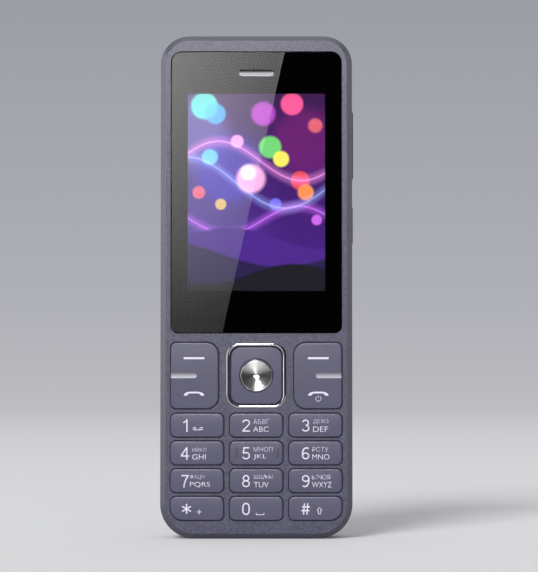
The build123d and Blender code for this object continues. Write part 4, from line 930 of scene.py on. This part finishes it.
def front_card(name, y, outline, glow):
    """Upright card in front of the phone, from an outline of (x, z) points."""
    studio_card(name, [(x, y, z) for x, z in outline], glow)


def side_card(name, x, y_near, y_far, low, high, glow):
    """Upright card beside the phone."""
    corners = [(x, y_near, low), (x, y_far, low), (x, y_far, high), (x, y_near, high)]
    studio_card(name, corners, glow)


def level_card(name, z, half_width, y_near, y_far, glow):
    """Level card, as far to the left of the phone as to the right."""
    outline = rectangle(-half_width, half_width, y_near, y_far)
    studio_card(name, [(x, y, z) for x, y in outline], glow)


def lens_glow(shader, x, z):
    """Glow that grows upwards and towards the left, as the lens shows it."""
    upward = shader.ramp(z, low=0.072, high=0.222, out_low=1.0, out_high=5.2, smooth=False)
    leftward = shader.ramp(x, low=-0.050, high=0.005, out_low=1.0, out_high=0.55, smooth=False)
    return shader.math("MULTIPLY", upward, leftward)


backdrop()
far_lamp("key_lamp", energy=1.9, angle=24, direction=(0.5, 1.0, -0.7))

# The lens shows the first card, whose right edge is slanted. The other bright cards give metal
# and plastic their sheen, and the dark ones hide the world from them
CARD_Y = -0.70
SCREEN_Y = -0.72
FLAG_Y = -0.30
CARD_SIDE_X = 0.75
SCREEN_SIDE_X = 0.76
DARK = 0.02
LENS_CARD = [(-0.060, 0.0645), (-0.0237, 0.0645), (0.0141, 0.235), (-0.060, 0.235)]
SHEEN_CARD = rectangle(left=-0.15, right=0.0, low=0.27, high=0.75)
DARK_SCREEN = rectangle(left=-0.70, right=CARD_SIDE_X, low=0.002, high=0.9)
LEFT_FLAG = rectangle(left=-0.30, right=-0.05, low=0.001, high=0.075)
RIGHT_FLAG = rectangle(left=0.05, right=0.30, low=0.001, high=0.075)
front_card("lens_card", CARD_Y, LENS_CARD, lens_glow)
front_card("sheen_card", CARD_Y, SHEEN_CARD, glow=38.0)
side_card("left_card", -CARD_SIDE_X, y_near=-0.60, y_far=0.60, low=0.0, high=0.6, glow=2.8)
side_card("right_card", CARD_SIDE_X, y_near=0.0, y_far=0.60, low=0.0, high=0.6, glow=1.5)
front_card("dark_screen", SCREEN_Y, DARK_SCREEN, DARK)
side_card("dark_side", SCREEN_SIDE_X, y_near=SCREEN_Y, y_far=0.0, low=0.002, high=0.9, glow=DARK)
front_card("left_flag", FLAG_Y, LEFT_FLAG, DARK)
front_card("right_flag", FLAG_Y, RIGHT_FLAG, DARK)
level_card("roof_card", z=0.6, half_width=0.5, y_near=0.08, y_far=0.19, glow=4.6)
level_card("floor_card", z=0.002, half_width=0.03, y_near=FLAG_Y, y_far=-0.11, glow=1.4)


def studio_air():
    """World: a soft, slightly blue light, shown to the camera as a pale grey."""
    world = bpy.data.worlds.new("studio_air")
    world.use_nodes = True
    tree = world.node_tree
    light = tree.nodes["Background"]
    light.inputs["Color"].default_value = tone(228, 228, 234)
    light.inputs["Strength"].default_value = 0.5
    view = tree.nodes.new("ShaderNodeBackground")
    view.inputs["Color"].default_value = tone(196, 199, 204)
    path = tree.nodes.new("ShaderNodeLightPath")
    mix = tree.nodes.new("ShaderNodeMixShader")
    tree.links.new(path.outputs["Is Camera Ray"], mix.inputs[0])
    tree.links.new(light.outputs[0], mix.inputs[1])
    tree.links.new(view.outputs[0], mix.inputs[2])
    tree.links.new(mix.outputs[0], tree.nodes["World Output"].inputs["Surface"])
    bpy.context.scene.world = world


studio_air()
bpy.context.scene.view_settings.view_transform = "Standard"

# Camera: a little right of the phone's middle, low, and tilted up by a small angle. The middle
# of its view meets the front of the lens at VIEW_HEIGHT
CAMERA_DISTANCE = 0.5419
CAMERA_X = 0.0032
VIEW_HEIGHT = 0.0637
PITCH = math.radians(2.3)


def photo_camera():
    """Camera with the view of the photograph."""
    optics = bpy.data.cameras.new("camera")
    optics.lens = 135
    optics.sensor_width = 36
    optics.clip_start = 0.01
    made = into_scene("camera", optics)
    made.location = (
        CAMERA_X,
        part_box("display_lens")[0].y - CAMERA_DISTANCE * math.cos(PITCH),
        VIEW_HEIGHT - CAMERA_DISTANCE * math.sin(PITCH),
    )
    made.rotation_euler = (math.pi / 2 + PITCH, 0, 0)
    bpy.context.scene.camera = made


photo_camera()
